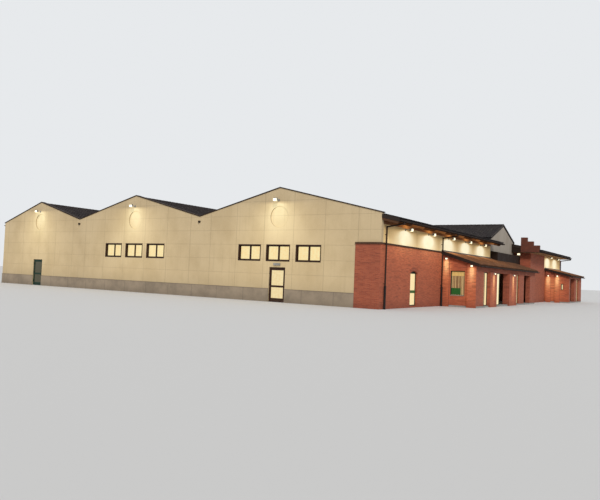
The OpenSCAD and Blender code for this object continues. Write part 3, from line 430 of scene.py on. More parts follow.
def panel_look(name, colour):
    """Precast panels: fine aggregate, level grooves and upright joints, with rain streaks, and
    painted pools of floodlight below the gable lamps.
    """
    look = Look(name)
    sizes = bpy.context.scene.store_sizes
    at = lines()
    spot, x, y, z = look.place()
    along, side = look.along(x, y)
    in_b, in_c = x.below(at.valley_a), x.below(at.valley_b)

    def by_bay(a, b, c):
        """A value of its own for each bay."""
        return in_b * (b - a) + in_c * (c - b) + a

    pitch = sizes.panel_width
    start = by_bay(at.mid["a"] + pitch / 2, at.mid["b"] + pitch / 2, at.mid["c"] - 0.040)
    start = start * (1.0 - side) + side * at.gable
    upright = look.soften(look.edge(along, pitch, start), 0.004, 0.010, 1.0, 0.0)
    level = look.joint(z, sizes.groove_pitch, 0.012, 0.972)
    grooves = (level * z.above(0.7) * 0.60).math("MAXIMUM", upright)
    off, rise = x - by_bay(*at.mid.values()), z - RECESS_Z
    away = ((off * off + rise * rise).math("SQRT") - RECESS_R).math("ABSOLUTE")
    ring = look.soften(away, 0.003, 0.011, 1.0, 0.0) * (1.0 - side)

    grain = look.noise(spot, 60.0, 4.0, 0.7)
    cloud = look.noise(look.vector(along * 0.5, z * 0.35), 1.6, 5.0, 0.6)
    streak = look.noise(look.vector(along * 9.0, z * 0.35), 1.3, 4.0, 0.6)
    tone = look.coats(rgb(colour), colour, (cloud, 0.35, 0.7, (0.86, 0.84, 0.80), 1.0),
                      (streak, 0.52, 0.78, (0.66, 0.64, 0.60), 0.35),
                      (grain, 0.45, 0.75, 1.22, 0.30))
    tone = look.mix(look.soften(z, 0.45, 0.95, 0.22, 0.0), tone, rgb(colour, 0.55))
    for mask in (grooves * 0.38, ring * 0.20):
        tone = look.mix(mask, tone, rgb(colour, 0.35))
    # Painted light: pools of the gable floodlights, put into the emission colour
    lamp_z = at.ridge["a"] - FLOOD_DROP - GLASS_DROP
    here = (1.0 - side) * y.below(at.gable + 0.3)
    painted_lamp_light = look.pool(off + FLOOD_SET, lamp_z - z, *GABLE_POOL) * here
    return look.finish(tone, look.rough(grain, 0.78, 0.92),
                       look.bump(1.0 - grooves, 0.006, 0.8, look.bump(grain, 0.0015, 0.6)),
                       **look.lit(tone, painted_lamp_light, (1.15, 1.05, 0.70), (1.10, 1.25, 1.20)))


def brick_look(name, first, second, mortar, lit=False):
    """Red facing bricks in running bond, with pale joints and sooty patches; when lit, with painted
    pools of lamp light.
    """
    look = Look(name)
    sizes = bpy.context.scene.store_sizes
    spot, x, y, z = look.place()
    along, side = look.along(x, y)
    inputs = {"Vector": look.vector(along, z), "Color1": rgb(first), "Color2": rgb(second),
              "Mortar": rgb(mortar), "Scale": 1.0, "Mortar Size": sizes.brick_joint / 2,
              "Mortar Smooth": 0.2, "Bias": -0.1, "Brick Width": sizes.brick_length,
              "Row Height": sizes.brick_height}
    bond = {"offset": 0.5, "offset_frequency": 2, "squash": 1.0}
    tone = look.node("TexBrick", bond, inputs, out="Color")
    joint = look.node("TexBrick", bond, inputs, out="Fac")
    one = look.random((along, sizes.brick_length * 1.5), (z, sizes.brick_height))
    cloud = look.noise(spot, 1.1, 5.0, 0.65)
    grain = look.noise(spot, 90.0, 3.0, 0.7)
    burnt = look.soften(one, 0.78, 1.0) * 0.45 * (1.0 - joint)
    tone = look.coats(look.mix(burnt, tone, rgb(second, 0.45)), first,
                      (cloud, 0.45, 0.8, 0.62, 0.40), (grain, 0.55, 0.85, 1.5, 0.25))
    tone = look.mix(look.soften(z, 0.0, 0.35, 0.35, 0.0), tone, rgb(second, 0.45))
    # Painted light: pools of the eaves floodlights and the bulkhead lamps, put into the emission
    # colour
    painted_lamp_light = {}
    if lit:
        near = look.row(y, *eaves_lamps())
        light = look.pool(near, EAVES_LAMP_Z - z, *EAVES_POOL) * side
        light = (light * x.below(lines().front + 0.05) * 0.60).math("MINIMUM", 0.40)
        for (lamp_x, lamp_y, lamp_z), turned in small_lamps():
            away, off = (y - lamp_y, x - lamp_x) if turned else (x - lamp_x, y - lamp_y)
            here = off.math("ABSOLUTE").below(0.09) * (side if turned else 1.0 - side)
            light = light + look.pool(away, lamp_z - 0.02 - z, *BULKHEAD_POOL) * here
        painted_lamp_light = look.lit(tone, light, (2.2, 1.3, 0.4), (2.3, 5.0, 4.2))
    return look.finish(tone, look.rough(grain, 0.80, 0.95),
                       look.bump(1.0 - joint, 0.004, 0.9, look.bump(grain, 0.002, 0.7)), **painted_lamp_light)


def tile_look(name, first, second, across="y", row=None):
    """Clay roof tiles, each with a tone of its own, darker where lichen and soot collect; with a
    row of lamps, painted pools of their light.
    """
    look = Look(name)
    sizes = bpy.context.scene.store_sizes
    spot, x, y, _ = look.place()
    run, fall = (y, x) if across == "y" else (x, y)
    one = look.random((run, sizes.tile_width), (fall, sizes.tile_length))
    lichen = look.noise(spot, 3.2, 6.0, 0.7)
    soot = look.noise(look.vector(x * 0.8, y * 0.8), 0.5, 4.0, 0.6)
    grain = look.noise(spot, 75.0, 3.0, 0.65)
    tone = look.mix(one, rgb(first), rgb(second))
    tone = look.mix(look.soften(lichen, 0.52, 0.78) * 0.45, tone, rgb((0.115, 0.105, 0.075)))
    tone = look.coats(tone, first, (soot, 0.45, 0.75, 0.5, 0.50), (grain, 0.5, 0.85, 1.6, 0.25))
    # Painted light: pools of the lamps' light on the tiles, put into the emission colour
    painted_lamp_light = {}
    if row:
        wall, lamps = row
        near, away = look.row(y, *lamps), x - wall
        light = 0.42 / (near * near * 1.2 + away * away * 2.2 + 0.38)
        painted_lamp_light = look.lit(tone, light, (3.8, 3.0, 1.5), (4.0, 3.6, 2.4))
    return look.finish(tone, look.rough(grain, 0.72, 0.92), look.bump(grain, 0.002, 0.6),
                       Specular_IOR_Level=0.2, **painted_lamp_light)


def slab_look(name, tile, board):
    """Roof slab: tile tone on top and at its edges, varnished boards on its underside."""
    look = Look(name)
    width = 0.070
    spot, x, y, z = look.place()
    under = look.facing()[2].below(-0.5)
    one, gap = look.random((x, width)), look.joint(x, width, 0.006)
    grain = look.noise(look.vector(x * 30.0, y * 2.0, z * 30.0), 1.0, 5.0, 0.6)
    wood = look.mix(one * 0.6 + grain * 0.4, rgb(board), rgb(board, 0.62))
    wood = look.mix(gap, wood, rgb(board, 0.15))
    top = look.mix(look.noise(spot, 40.0, 4.0, 0.6), rgb(tile), rgb(tile, 0.65))
    height = (1.0 - gap) * under + grain * 0.2
    return look.finish(look.mix(under, top, wood), look.soften(under, 0.0, 1.0, 0.85, 0.70),
                       look.bump(height, 0.003, 0.7), Specular_IOR_Level=0.1)


def wood_look(name, colour, row=None):
    """Stained timber with its grain along the piece; with a row of lamps, painted pools of their
    light.
    """
    look = Look(name)
    _, x, y, z = look.place()
    grain = look.noise(look.vector(x * 1.5, y * 30.0, z * 26.0), 1.6, 6.0, 0.62)
    wide = look.noise(look.vector(x, y * 4.0, z * 4.0), 1.4, 3.0, 0.5)
    tone = look.coats(rgb(colour), colour, (grain, 0.35, 0.68, 0.45, 1.0),
                      (wide, 0.5, 0.8, 1.6, 0.5))
    # Painted light: pools of the lamps' light on the timber, put into the emission colour
    painted_lamp_light = {}
    if row:
        near = look.row(y, *row)
        painted_lamp_light = look.lit(tone, 0.20 / (near * near * 3.0 + 0.20),
                        (4.0, 3.0, 1.8), (4.8, 4.4, 3.0))
    return look.finish(tone, look.rough(grain, 0.5, 0.75), look.bump(grain, 0.002, 0.6),
                       Specular_IOR_Level=0.2, **painted_lamp_light)


def render_look(name, colour, grime=0.30, row=None, lamp_z=EAVES_LAMP_Z):
    """Trowelled render: soft clouds, fine sand and faint runs below the eaves; with a row of lamps,
    painted pools of their light.
    """
    look = Look(name)
    spot, x, y, z = look.place()
    along, _ = look.along(x, y)
    cloud = look.noise(look.vector(along, z * 0.8), 1.3, 6.0, 0.62)
    sand = look.noise(spot, 110.0, 3.0, 0.7)
    runs = look.noise(look.vector(along * 7.0, z * 0.5), 1.5, 4.0, 0.6)
    tone = look.coats(rgb(colour), colour, (cloud, 0.35, 0.72, (0.84, 0.82, 0.78), 1.0),
                      (runs, 0.55, 0.8, 0.60, grime), (sand, 0.5, 0.8, 1.2, 0.2))
    # Painted light: pools of the eaves floodlights, put into the emission colour
    painted_lamp_light = {}
    if row:
        light = look.pool(look.row(y, *row), lamp_z - z, *EAVES_POOL)
        painted_lamp_light = look.lit(tone, light, (1.25, 1.00, 0.50), (1.10, 1.50, 2.40))
    return look.finish(tone, look.rough(sand, 0.82, 0.94),
                       look.bump(sand, 0.0015, 0.6, look.bump(cloud, 0.006, 0.3)), **painted_lamp_light)


def metal_look(name, colour, gloss, shine=0.3):
    """Coated sheet metal with dust and faint wear."""
    look = Look(name)
    spot = look.place()[0]
    dust = look.noise(spot, 4.0, 5.0, 0.65)
    fine = look.noise(spot, 120.0, 2.0, 0.5)
    tone = look.mix(look.soften(dust, 0.48, 0.78) * 0.45, rgb(colour),
                    rgb([c * 1.7 + 0.006 for c in colour]))
    tone = look.coats(tone, colour, (fine, 0.55, 0.9, 0.6, 0.3))
    return look.finish(tone, look.rough(dust, gloss, gloss + 0.25),
                       look.bump(fine, 0.0008, 0.4), Specular_IOR_Level=shine)


def stone_look(name, colour):
    """Cut stone with joints between its lengths."""
    look = Look(name)
    spot, x, y, _ = look.place()
    fleck = look.noise(spot, 55.0, 4.0, 0.7)
    cloud = look.noise(spot, 2.0, 4.0, 0.6)
    gap = look.joint(look.along(x, y)[0], 0.5, 0.006)
    tone = look.coats(rgb(colour), colour, (fleck, 0.42, 0.72, 1.7, 1.0),
                      (cloud, 0.4, 0.8, 0.6, 0.5))
    return look.finish(look.mix(gap * 0.8, tone, rgb(colour, 0.3)),
                       look.rough(fleck, 0.65, 0.85),
                       look.bump(1.0 - gap, 0.003, 0.7, look.bump(fleck, 0.001, 0.5)),
                       Specular_IOR_Level=0.12)


def concrete_look(name, colour, joints=0.0):
    """Cast concrete with pores, stains and, on the plinth, joints between its lengths."""
    look = Look(name)
    spot, x, y, z = look.place()
    cloud = look.noise(spot, 1.7, 6.0, 0.62)
    pores = look.noise(spot, 85.0, 3.0, 0.7)
    tone = look.coats(rgb(colour), colour, (cloud, 0.35, 0.72, 0.68, 1.0),
                      (pores, 0.56, 0.82, 0.45, 0.5))
    tone = look.mix(look.soften(z, 0.0, 0.30, 0.45, 0.0), tone, rgb(colour, 0.5))
    height = 1.0 - look.soften(pores, 0.6, 0.8)
    if joints:
        gap = look.joint(look.along(x, y)[0], joints, 0.012)
        top = high("plinth_bands").z
        tone = look.mix(gap * 0.7, tone, rgb(colour, 0.25))
        tone = look.coats(tone, colour, (z, top - 0.030, top - 0.010, 0.35, 0.6))
        height = height - gap
    return look.finish(tone, look.rough(pores, 0.80, 0.93), look.bump(height, 0.003, 0.6))


def glass_look(name, warm, pale, strength, shine=0.5):
    """Window glass with the lit room behind it showing as soft warm light."""
    look = Look(name)
    _, x, y, z = look.place()
    along, _ = look.along(x, y)
    mottle = look.noise(look.vector(along * 3.0, z * 5.0), 3.5, 4.0, 0.6)
    drape = look.noise(look.vector(along * 22.0, z * 0.8), 1.0, 2.0, 0.5)
    shadow = look.soften(mottle, 0.35, 0.7) * 0.6 + look.soften(drape, 0.35, 0.7) * 0.4
    tone = look.mix(mottle, rgb((0.05, 0.045, 0.035)), rgb((0.09, 0.08, 0.06)))
    return look.finish(tone, look.rough(mottle, 0.05, 0.12), Specular_IOR_Level=shine,
                       Emission_Color=look.mix(shadow, rgb(pale), rgb(warm)),
                       Emission_Strength=strength)


def lens_look(name, colour, strength):
    """Ribbed lamp glass, lit from within."""
    look = Look(name)
    _, x, y, _ = look.place()
    ribs = look.joint(x + y, 0.012, 0.005)
    tone = look.mix(ribs, rgb((0.8, 0.78, 0.7)), rgb((0.6, 0.58, 0.5)))
    return look.finish(tone, 0.25, look.bump(ribs, 0.001, 0.5), Emission_Strength=strength,
                       Emission_Color=look.mix(ribs * 0.35, rgb(colour), rgb(colour, 0.7)))


def film_look(name, colour):
    """Coloured window film or blind with faint creases, glowing faintly as painted light of the lit
    room behind it.
    """
    look = Look(name)
    _, x, y, z = look.place()
    crease = look.noise(look.vector(x * 6.0, y * 6.0, z * 2.0), 2.5, 3.0, 0.5)
    tone = look.coats(rgb(colour), colour, (crease, 0.4, 0.75, 0.6, 0.5))
    # Painted light: the sheet glows at 0.35 of its own colour, as if lit from the room behind
    return look.finish(tone, look.rough(crease, 0.25, 0.45), look.bump(crease, 0.001, 0.4),
                       Emission_Color=tone, Emission_Strength=0.35)


# What a user would change

def length(name, words, value):
    """A size that a user would change."""
    return bpy.props.FloatProperty(name=name, description=words, default=value, unit="LENGTH")


def paint(name, words, value):
    """A colour that a user would change."""
    return bpy.props.FloatVectorProperty(name=name, description=words, default=value, size=3,
                                         min=0.0, max=1.0, subtype="COLOR")


class StoreSizes(bpy.types.PropertyGroup):
    """Sizes of the repeated pieces and patterns."""

    tile_width: length("Tile width", "Width that one roof tile covers", 0.150)
    tile_length: length("Tile length", "Length that one roof tile covers", 0.170)
    tile_lift: length("Tile lift", "Rise of a tile's lower end over the next course", 0.012)
    roll_height: length("Roll height", "Height of the roll along a tile's edge", 0.024)
    ridge_radius: length("Ridge tile radius", "Radius of the half-round ridge tiles", 0.055)
    ridge_length: length("Ridge tile length", "Length that one ridge tile covers", 0.200)
    brick_length: length("Brick length", "Length of a brick with its joint", 0.130)
    brick_height: length("Brick height", "Height of a brick with its joint", 0.0325)
    brick_joint: length("Brick joint", "Width of the joints between bricks", 0.005)
    panel_width: length("Panel width", "Width of one precast panel", 1.250)
    groove_pitch: length("Groove pitch", "Height between the level grooves", 0.510)
    strap_pitch: length("Strap pitch", "Distance between the gutter straps", 0.519)


class StoreColours(bpy.types.PropertyGroup):
    """Colours of the finishes."""

    panel: paint("Precast panels", "Cream precast wall panels", (0.520, 0.405, 0.245))
    plinth: paint("Plinth", "Concrete plinth band", (0.310, 0.245, 0.175))
    brick_red: paint("Brick, red", "Commoner tone of the bricks", (0.385, 0.092, 0.042))
    brick_dark: paint("Brick, dark", "Darker tone of the bricks", (0.270, 0.057, 0.028))
    mortar: paint("Mortar", "Joints between the bricks", (0.260, 0.138, 0.082))
    render: paint("Upper wall", "Render under the eaves", (0.700, 0.500, 0.235))
    grey: paint("Cross gable", "Render of the cross gable", (0.330, 0.290, 0.245))
    tile: paint("Main roof tiles", "Tiles of the three bays", (0.029, 0.022, 0.022))
    tile_dark: paint("Main roof, dark tiles", "Darker tiles of the three bays",
                     (0.016, 0.013, 0.014))
    porch_tile: paint("Porch tiles", "Tiles of the two porches", (0.150, 0.067, 0.032))
    porch_dark: paint("Porch, dark tiles", "Darker tiles of the porches", (0.070, 0.032, 0.018))
    trim: paint("Dark trim", "Caps, gutters and pipes", (0.028, 0.017, 0.013))
    frame_brown: paint("Brown frames", "Frames of the gable windows and door",
                       (0.036, 0.015, 0.008))
    frame_green: paint("Green frames", "Frames of the front and the far door",
                       (0.007, 0.028, 0.017))
    boards: paint("Soffit boards", "Varnished boards under the eaves", (0.100, 0.046, 0.020))


# Roof pieces

def tile_sheet(name, corner, run, down, finish, cut=None):
    """Courses of roof tiles from a top corner, along a run and down a slope."""
    sizes = bpy.context.scene.store_sizes
    run, down = Vector(run), Vector(down)
    columns = max(1, round(run.length / sizes.tile_width))
    courses = max(1, round(down.length / sizes.tile_length))
    width, fall = run.length / columns, down.length / courses
    lap, roll, lift = 0.014, sizes.roll_height, sizes.tile_lift
    bm = bmesh.new()
    # Outline across a tile: share of its width, and height
    shape = [(0.0, 0.002), (0.54, 0.0), (0.66, roll), (0.86, roll), (1.0, 0.002)]
    verts = [bm.verts.new((u * width, 0.0, h)) for u, h in shape]
    edges = [bm.edges.new(pair) for pair in zip(verts, verts[1:])]
    for step in ((0.0, fall + lap, lift), (0.0, 0.0, -lift)):
        edges = extrude(bm, edges, step)
    repeat(bm, (width, 0.0, 0.0), columns)
    repeat(bm, (0.0, fall, 0.0), courses)
    side, slope = run.normalized(), down.normalized()
    out = side.cross(slope)
    if out.z < 0:
        out = -out
    turn = Matrix((side, slope, out)).transposed().to_4x4()
    bmesh.ops.transform(bm, matrix=Matrix.Translation(corner) @ turn, verts=bm.verts)
    bm.normal_update()
    bm.faces.ensure_lookup_table()
    if bm.faces[0].normal.z < 0:
        bmesh.ops.reverse_faces(bm, faces=bm.faces[:])
    if cut:
        bmesh.ops.bisect_plane(bm, geom=bm.verts[:] + bm.edges[:] + bm.faces[:],
                               plane_co=cut[0], plane_no=cut[1], clear_inner=True)
    make_piece(name, bm, finish)


class StoreTiles(bpy.types.Operator):
    """Lays the roof tiles of the bays, the cross gable, the wing and the porches"""

    bl_idname = "store.lay_tiles"
    bl_label = "Lay Roof Tiles"

    def execute(self, context):
        colours = context.scene.store_colours
        at = lines()
        main = tile_look("main_roof_tiles", colours.tile, colours.tile_dark)
        cross = tile_look("cross_roof_tiles", colours.tile, colours.tile_dark, "x")

        def slope(name, x0, z0, x1, z1, y0, y1, finish=main):
            tile_sheet(name, (x0, y0, z0), (0, y1 - y0, 0), (x1 - x0, 0, z1 - z0), finish)

        for bay, way, valley in (("a", "west", at.valley_a), ("b", "east", at.valley_a),
                                 ("b", "west", at.valley_b), ("c", "east", at.valley_b)):
            ridge_x, ridge_z = at.mid[bay], at.ridge[bay]
            fall = (ridge_z - at.eave) / abs(valley - ridge_x)
            slope(f"bay_{bay}_tiles_{way}", ridge_x, ridge_z,
                  valley + math.copysign(VALLEY_GAP, ridge_x - valley),
                  at.eave + VALLEY_GAP * fall, at.inner, at.back)
        slope("bay_c_tiles_west", at.mid["c"], at.ridge["c"], at.far - 0.012, at.far_eave,
              at.inner, at.back)

        cross_lo, cross_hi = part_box("cross_gable_roof")
        wing_lo, wing_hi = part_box("wing_roof")
        wing_start = low("wing_end_walls").y
        eaves_x = high("roof_a").x
        # Under the cross gable the tiles end just behind its wall
        wall_x = high("cross_gable_wall").x - 0.16
        for name, x, y0, y1 in (("bay_a_tiles_front", eaves_x, at.inner, cross_lo.y),
                                ("bay_a_tiles_middle", wall_x, cross_lo.y, wing_start),
                                ("bay_a_tiles_back", wing_lo.x, wing_start, at.back)):
            slope(name, at.mid["a"], at.ridge["a"], x, main_top(x), y0, y1)
        slope("corner_tiles", at.front, main_top(at.front), eaves_x, main_top(eaves_x),
              at.gable, at.inner)

        crest_lo, crest_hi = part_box("stepped_crest")
        for name, x0, x1, y0, y1 in (
                ("wing_tiles_inner", wing_lo.x, at.front, wing_start, at.back),
                ("wing_tiles", at.front, wing_hi.x, crest_hi.y, at.end),
                ("wing_verge_tiles", at.front, crest_lo.x, wing_lo.y, crest_hi.y)):
            slope(name, x0, wing_top(x0), x1, wing_top(x1), y0, y1)

        mid = (cross_lo.y + cross_hi.y) / 2
        half = (cross_hi.y - cross_lo.y) / 2
        plane = ((at.front, mid, at.eave), Vector((main_fall(at), 0, 1)).normalized())
        run = (cross_hi.x - cross_lo.x, 0, 0)
        for name, side in (("cross_tiles_near", -1), ("cross_tiles_far", 1)):
            tile_sheet(name, (cross_lo.x, mid, cross_hi.z), run, (0, side * half, -CROSS_RISE),
                       cross, plane)

        # The porches' tiles carry painted pools of their lamps' light
        for start, row in (("", (at.front, eaves_lamps())),
                           ("wing_", (low("wing_porch_roof").x, wing_lamps()))):
            lo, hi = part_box(start + "porch_roof")
            slope(start + "porch_tiles", lo.x, hi.z, hi.x, lo.z + PORCH_SLAB, lo.y, hi.y,
                  tile_look(start + "porch_roof_tiles", colours.porch_tile, colours.porch_dark,
                            row=row))
        return {"FINISHED"}


class StoreRidges(bpy.types.Operator):
    """Caps the ridges with half-round tiles"""

    bl_idname = "store.cap_ridges"
    bl_label = "Cap Ridges"

    def execute(self, context):
        sizes, colours = context.scene.store_sizes, context.scene.store_colours
        at = lines()
        lap = 0.02
        lo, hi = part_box("cross_gable_roof")
        start = lo.x + 0.1
        runs = [((at.mid[bay], at.inner, at.ridge[bay]), at.back - at.inner, 0.0)
                for bay in "abc"]
        runs.append(((start, (lo.y + hi.y) / 2, hi.z), hi.x - start, -math.pi / 2))
        whole = bmesh.new()
        for corner, distance, turn in runs:
            count = round(distance / sizes.ridge_length)
            pitch = distance / count
            bm = bmesh.new()
            lay = Matrix.Rotation(math.pi / 2, 4, "X")
            lay.translation = (0, (pitch + lap) / 2, 0)
            bmesh.ops.create_cone(bm, cap_ends=True, segments=12, radius1=sizes.ridge_radius,
                                  radius2=sizes.ridge_radius * 0.86, depth=pitch + lap,
                                  matrix=lay)
            repeat(bm, (0, pitch, 0), count)
            for v in bm.verts:
                v.co.y = min(v.co.y, distance)
            place = Matrix.Translation(corner) @ Matrix.Rotation(turn, 4, "Z")
            bmesh.ops.transform(bm, matrix=place, verts=bm.verts)
            join(whole, bm)
        look = tile_look("ridge_tiles", colours.tile, colours.tile_dark)
        make_piece("ridge_caps", whole, look)
        return {"FINISHED"}


class StoreValleys(bpy.types.Operator):
    """Lays the metal valley gutters and the flashings above the porch roofs"""

    bl_idname = "store.lay_flashings"
    bl_label = "Lay Flashings"

    def execute(self, context):
        at = lines()
        look = metal_look("flashing_metal", (0.085, 0.080, 0.078), 0.35)
        bm = bmesh.new()
        for x, bays in ((at.valley_a, "ba"), (at.valley_b, "cb")):
            for side, bay in zip((-1, 1), bays):
                slope = (at.ridge[bay] - at.eave) / abs(at.mid[bay] - x)
                middle = Vector((x, at.inner, at.eave + 0.004))
                edge = middle + Vector((side * VALLEY_W, 0, VALLEY_W * slope))
                line = bm.edges.new([bm.verts.new(place) for place in (middle, edge)])
                extrude(bm, [line], (0, at.back - at.inner, 0))
        bmesh.ops.recalc_face_normals(bm, faces=bm.faces[:])
        for face in bm.faces:
            if face.normal.z < 0:
                face.normal_flip()
        make_piece("valley_gutters", bm, look)

        bm = bmesh.new()
        thick, up, inset = 0.014, 0.060, 0.01
        reach, fall, lip = 0.090, 0.030, 0.010
        for node in ("porch_roof", "wing_porch_roof"):
            lo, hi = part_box(node)
            y0, y1 = lo.y + inset, hi.y - inset
            add_box(bm, (lo.x, y0, hi.z - inset), (lo.x + thick, y1, hi.z + up))
            for v in add_box(bm, (lo.x, y0, hi.z + fall), (lo.x + reach, y1, hi.z + fall + lip)):
                if v.co.x > lo.x + reach / 2:
                    v.co.z -= fall
        make_piece("porch_flashings", bm, look, bevel=0.002)
        return {"FINISHED"}


class StoreEdges(bpy.types.Operator):
    """Fits the verge boards of the roofs and the board on the wall under the front eaves"""

    bl_idname = "store.fit_verges"
    bl_label = "Fit Verge Boards"

    def execute(self, context):
        at = lines()
        thick = 0.014
        bm = bmesh.new()

        def board(x0, z0, x1, z1, y, depth, up):
            """Verge board with its top a little above a slope, on the +Y side of y."""
            add_rake(bm, (x0, y, z0 + up), (x1, y, z1 + up), (0, thick, 0), depth)

        lo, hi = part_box("cross_gable_roof")
        mid, up = (lo.y + hi.y) / 2, 0.030
        for end in (lo.y, hi.y):
            add_rake(bm, (hi.x, mid, hi.z + up), (hi.x, end, hi.z - CROSS_RISE + up),
                     (0.016, 0, 0), 0.060)
        for node in ("porch_roof", "wing_porch_roof"):
            lo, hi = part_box(node)
            for y in (lo.y - thick, hi.y):
                board(lo.x, hi.z, hi.x, lo.z + PORCH_SLAB, y, 0.125, up)
        lo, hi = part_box("wing_roof")
        for x, y in ((low("stepped_crest").x, lo.y - thick), (hi.x, hi.y)):
            board(at.front, wing_top(at.front), x, wing_top(x), y, 0.150, 0.034)
        edge = high("roof_a").x
        board(at.front, main_top(at.front), edge, main_top(edge), at.gable - thick, 0.110, 0.0)
        bmesh.ops.recalc_face_normals(bm, faces=bm.faces[:])
        look = wood_look("verge_boards_wood", context.scene.store_colours.trim)
        make_piece("verge_boards", bm, look, bevel=0.002)

        lo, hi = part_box("front_upper_wall")
        x, foot = at.front + 0.020, 2.690
        box = ((at.front, lo.y, foot), (x, hi.y, main_top(x) - SLAB - 0.002))
        # The board carries painted pools of the eaves floodlights' light
        look = wood_look("wall_board_wood", (0.140, 0.055, 0.018), eaves_lamps())
        make_boxes("eaves_wall_board", [box], look, bevel=0.002)
        return {"FINISHED"}


class StoreStraps(bpy.types.Operator):
    """Fits the straps of the gutters and the iron feet of the downpipes"""

    bl_idname = "store.fit_straps"
    bl_label = "Fit Gutter Straps"

    def execute(self, context):
        sizes, colours = context.scene.store_sizes, context.scene.store_colours
        at = lines()
        eaves_x = high("roof_a").x
        edges = [(eaves_x, main_top(eaves_x), at.gable, low("cross_gable_roof").y, 1),
                 (at.far, at.far_eave, at.gable, at.end, -1)]
        for node, slab in (("wing_roof", SLAB), ("porch_roof", PORCH_SLAB),
                           ("wing_porch_roof", PORCH_SLAB)):
            lo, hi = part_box(node)
            edges.append((hi.x, lo.z + slab, lo.y, hi.y, 1))
        inner = GUTTER_R + 0.0005
        outer, width = inner + 0.004, 0.022
        whole = bmesh.new()
        for x, z, y0, y1, way in edges:
            bm = bmesh.new()
            corners = ((inner, 0, 0), (outer, 0, 0), (outer, width, 0), (inner, width, 0))
            face = bm.faces.new([bm.verts.new(corner) for corner in corners])
            bmesh.ops.spin(bm, geom=[face], cent=(0, 0, 0), axis=(0, 1, 0), angle=math.pi * 0.94,
                           steps=8, use_duplicate=False)
            bmesh.ops.scale(bm, vec=(way, 1, 1), verts=bm.verts)
            centre = (x + way * (GUTTER_R - GUTTER_SEAT), y0 + 0.12, z - GUTTER_DROP)
            bmesh.ops.translate(bm, vec=centre, verts=bm.verts)
            repeat(bm, (0, sizes.strap_pitch, 0), int((y1 - y0 - 0.2) / sizes.strap_pitch) + 1)
            bmesh.ops.recalc_face_normals(bm, faces=bm.faces[:])
            join(whole, bm)
        look = metal_look("gutter_straps_metal", rgb(colours.trim, 0.8), 0.4)
        make_piece("gutter_straps", whole, look)

        bm = bmesh.new()
        wing_x = high("wing_front_wall").x
        # Wall of each pipe with its distance from the gable, then radius, foot and top of its parts
        pipes = ((at.front, 0.262), (at.front, 5.290), (wing_x, 23.924))
        shaft, collar, shoe = (0.0370, 0.0, 0.720), (0.0410, 0.690, 0.735), (0.0395, 0.0, 0.040)
        for x, y in pipes:
            for radius, foot, top in (shaft, collar, shoe):
                place = Matrix.Translation((x + 0.060, at.gable + y, (foot + top) / 2))
                bmesh.ops.create_cone(bm, cap_ends=True, segments=20, radius1=radius,
                                      radius2=radius, depth=top - foot, matrix=place)
        look = metal_look("cast_iron", (0.010, 0.008, 0.008), 0.5, 0.2)
        make_piece("pipe_feet", bm, look)
        return {"FINISHED"}


# Pieces on the walls

class StoreArch(bpy.types.Operator):
    """Turns the ring of bricks over the arched window"""

    bl_idname = "store.turn_arch"
    bl_label = "Turn Brick Arch"

    def execute(self, context):
        colours = context.scene.store_colours
        at = lines()
        count, tall, proud, joint = 15, 0.126, 0.012, 0.004
        radius = (ARCH_W * ARCH_W / 4 + ARCH_RISE * ARCH_RISE) / (2 * ARCH_RISE)
        centre = Vector((at.front + 0.002, at.gable + ARCH_Y + ARCH_W / 2,
                         ARCH_SPRING + ARCH_RISE - radius))
        reach = math.asin(ARCH_W / 2 / radius) + 0.05
        size = Matrix.Diagonal((proud, 2 * reach * radius / count - joint, tall, 1))
        bm = bmesh.new()
        for i in range(count):
            turn = Matrix.Rotation(reach - 2 * reach * (i + 0.5) / count, 4, "X")
            out = Matrix.Translation((0, 0, radius + tall / 2 + 0.003))
            place = Matrix.Translation(centre) @ turn @ out @ size
            bmesh.ops.create_cube(bm, size=1, matrix=place)
        look = brick_look("arch_bricks_red", rgb(colours.brick_red, 1.1), colours.brick_dark,
                          colours.mortar)
        make_piece("arch_bricks", bm, look, bevel=0.002)
        return {"FINISHED"}


class StoreSills(bpy.types.Operator):
    """Sets the sills below the windows and the trims round the gable windows"""

    bl_idname = "store.set_sills"
    bl_label = "Set Sills"

    def execute(self, context):
        at = lines()
        look = metal_look("sill_metal", context.scene.store_colours.frame_brown, 0.38)
        lo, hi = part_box("gable_window_frames")
        pitch = context.scene.store_sizes.panel_width
        half = hi.x - at.mid["a"] - pitch
        lining, wide = 0.0145, 0.022
        proud, deep, thick, fall, cheek = 0.022, 0.069, 0.008, 0.006, 0.007
        windows = [(at.mid[bay] + step * pitch, y, way) for bay in "ab"
                   for y, way in ((at.gable, -1), (at.end, 1)) for step in (-1, 0, 1)]

        bm = bmesh.new()
        z = lo.z + lining
        for x, y, way in windows:
            outer = y + way * proud
            y0, y1 = sorted((y - way * deep, outer))
            left, right = x - half + lining, x + half - lining
            for v in add_box(bm, (left, y0, z), (right, y1, z + thick)):
                if abs(v.co.y - outer) < 1e-4:
                    v.co.z -= fall
            for side in (left, right - cheek):
                add_box(bm, (side, y0, z - 0.004), (side + cheek, y1, z + 0.014))
        make_piece("gable_window_sills", bm, look, bevel=0.001)

        trims = []
        for x, y, way in windows:
            y0, y1 = sorted((y - way * 0.004, y + way * 0.006))
            trims += [((side, y0, lo.z - wide), (side + wide, y1, hi.z + wide))
                      for side in (x - half - wide, x + half)]
            trims += [((x - half, y0, level), (x + half, y1, level + wide))
                      for level in (lo.z - wide, hi.z)]
        make_boxes("gable_window_trims", trims, look, bevel=0.001)

        bm = bmesh.new()
        x, y = at.front + END_X, low("porch_end_walls").y + PILASTER_OUT
        proud, deep, thick = 0.030, 0.068, 0.022
        for v in add_box(bm, (x, y - proud, END_SILL), (x + END_W, y + deep, END_SILL + thick)):
            if v.co.y < y and v.co.z > END_SILL + thick / 2:
                v.co.z -= fall
        make_piece("porch_window_sill", bm, stone_look("sill_stone", (0.300, 0.270, 0.220)),
                   bevel=0.002)
        return {"FINISHED"}


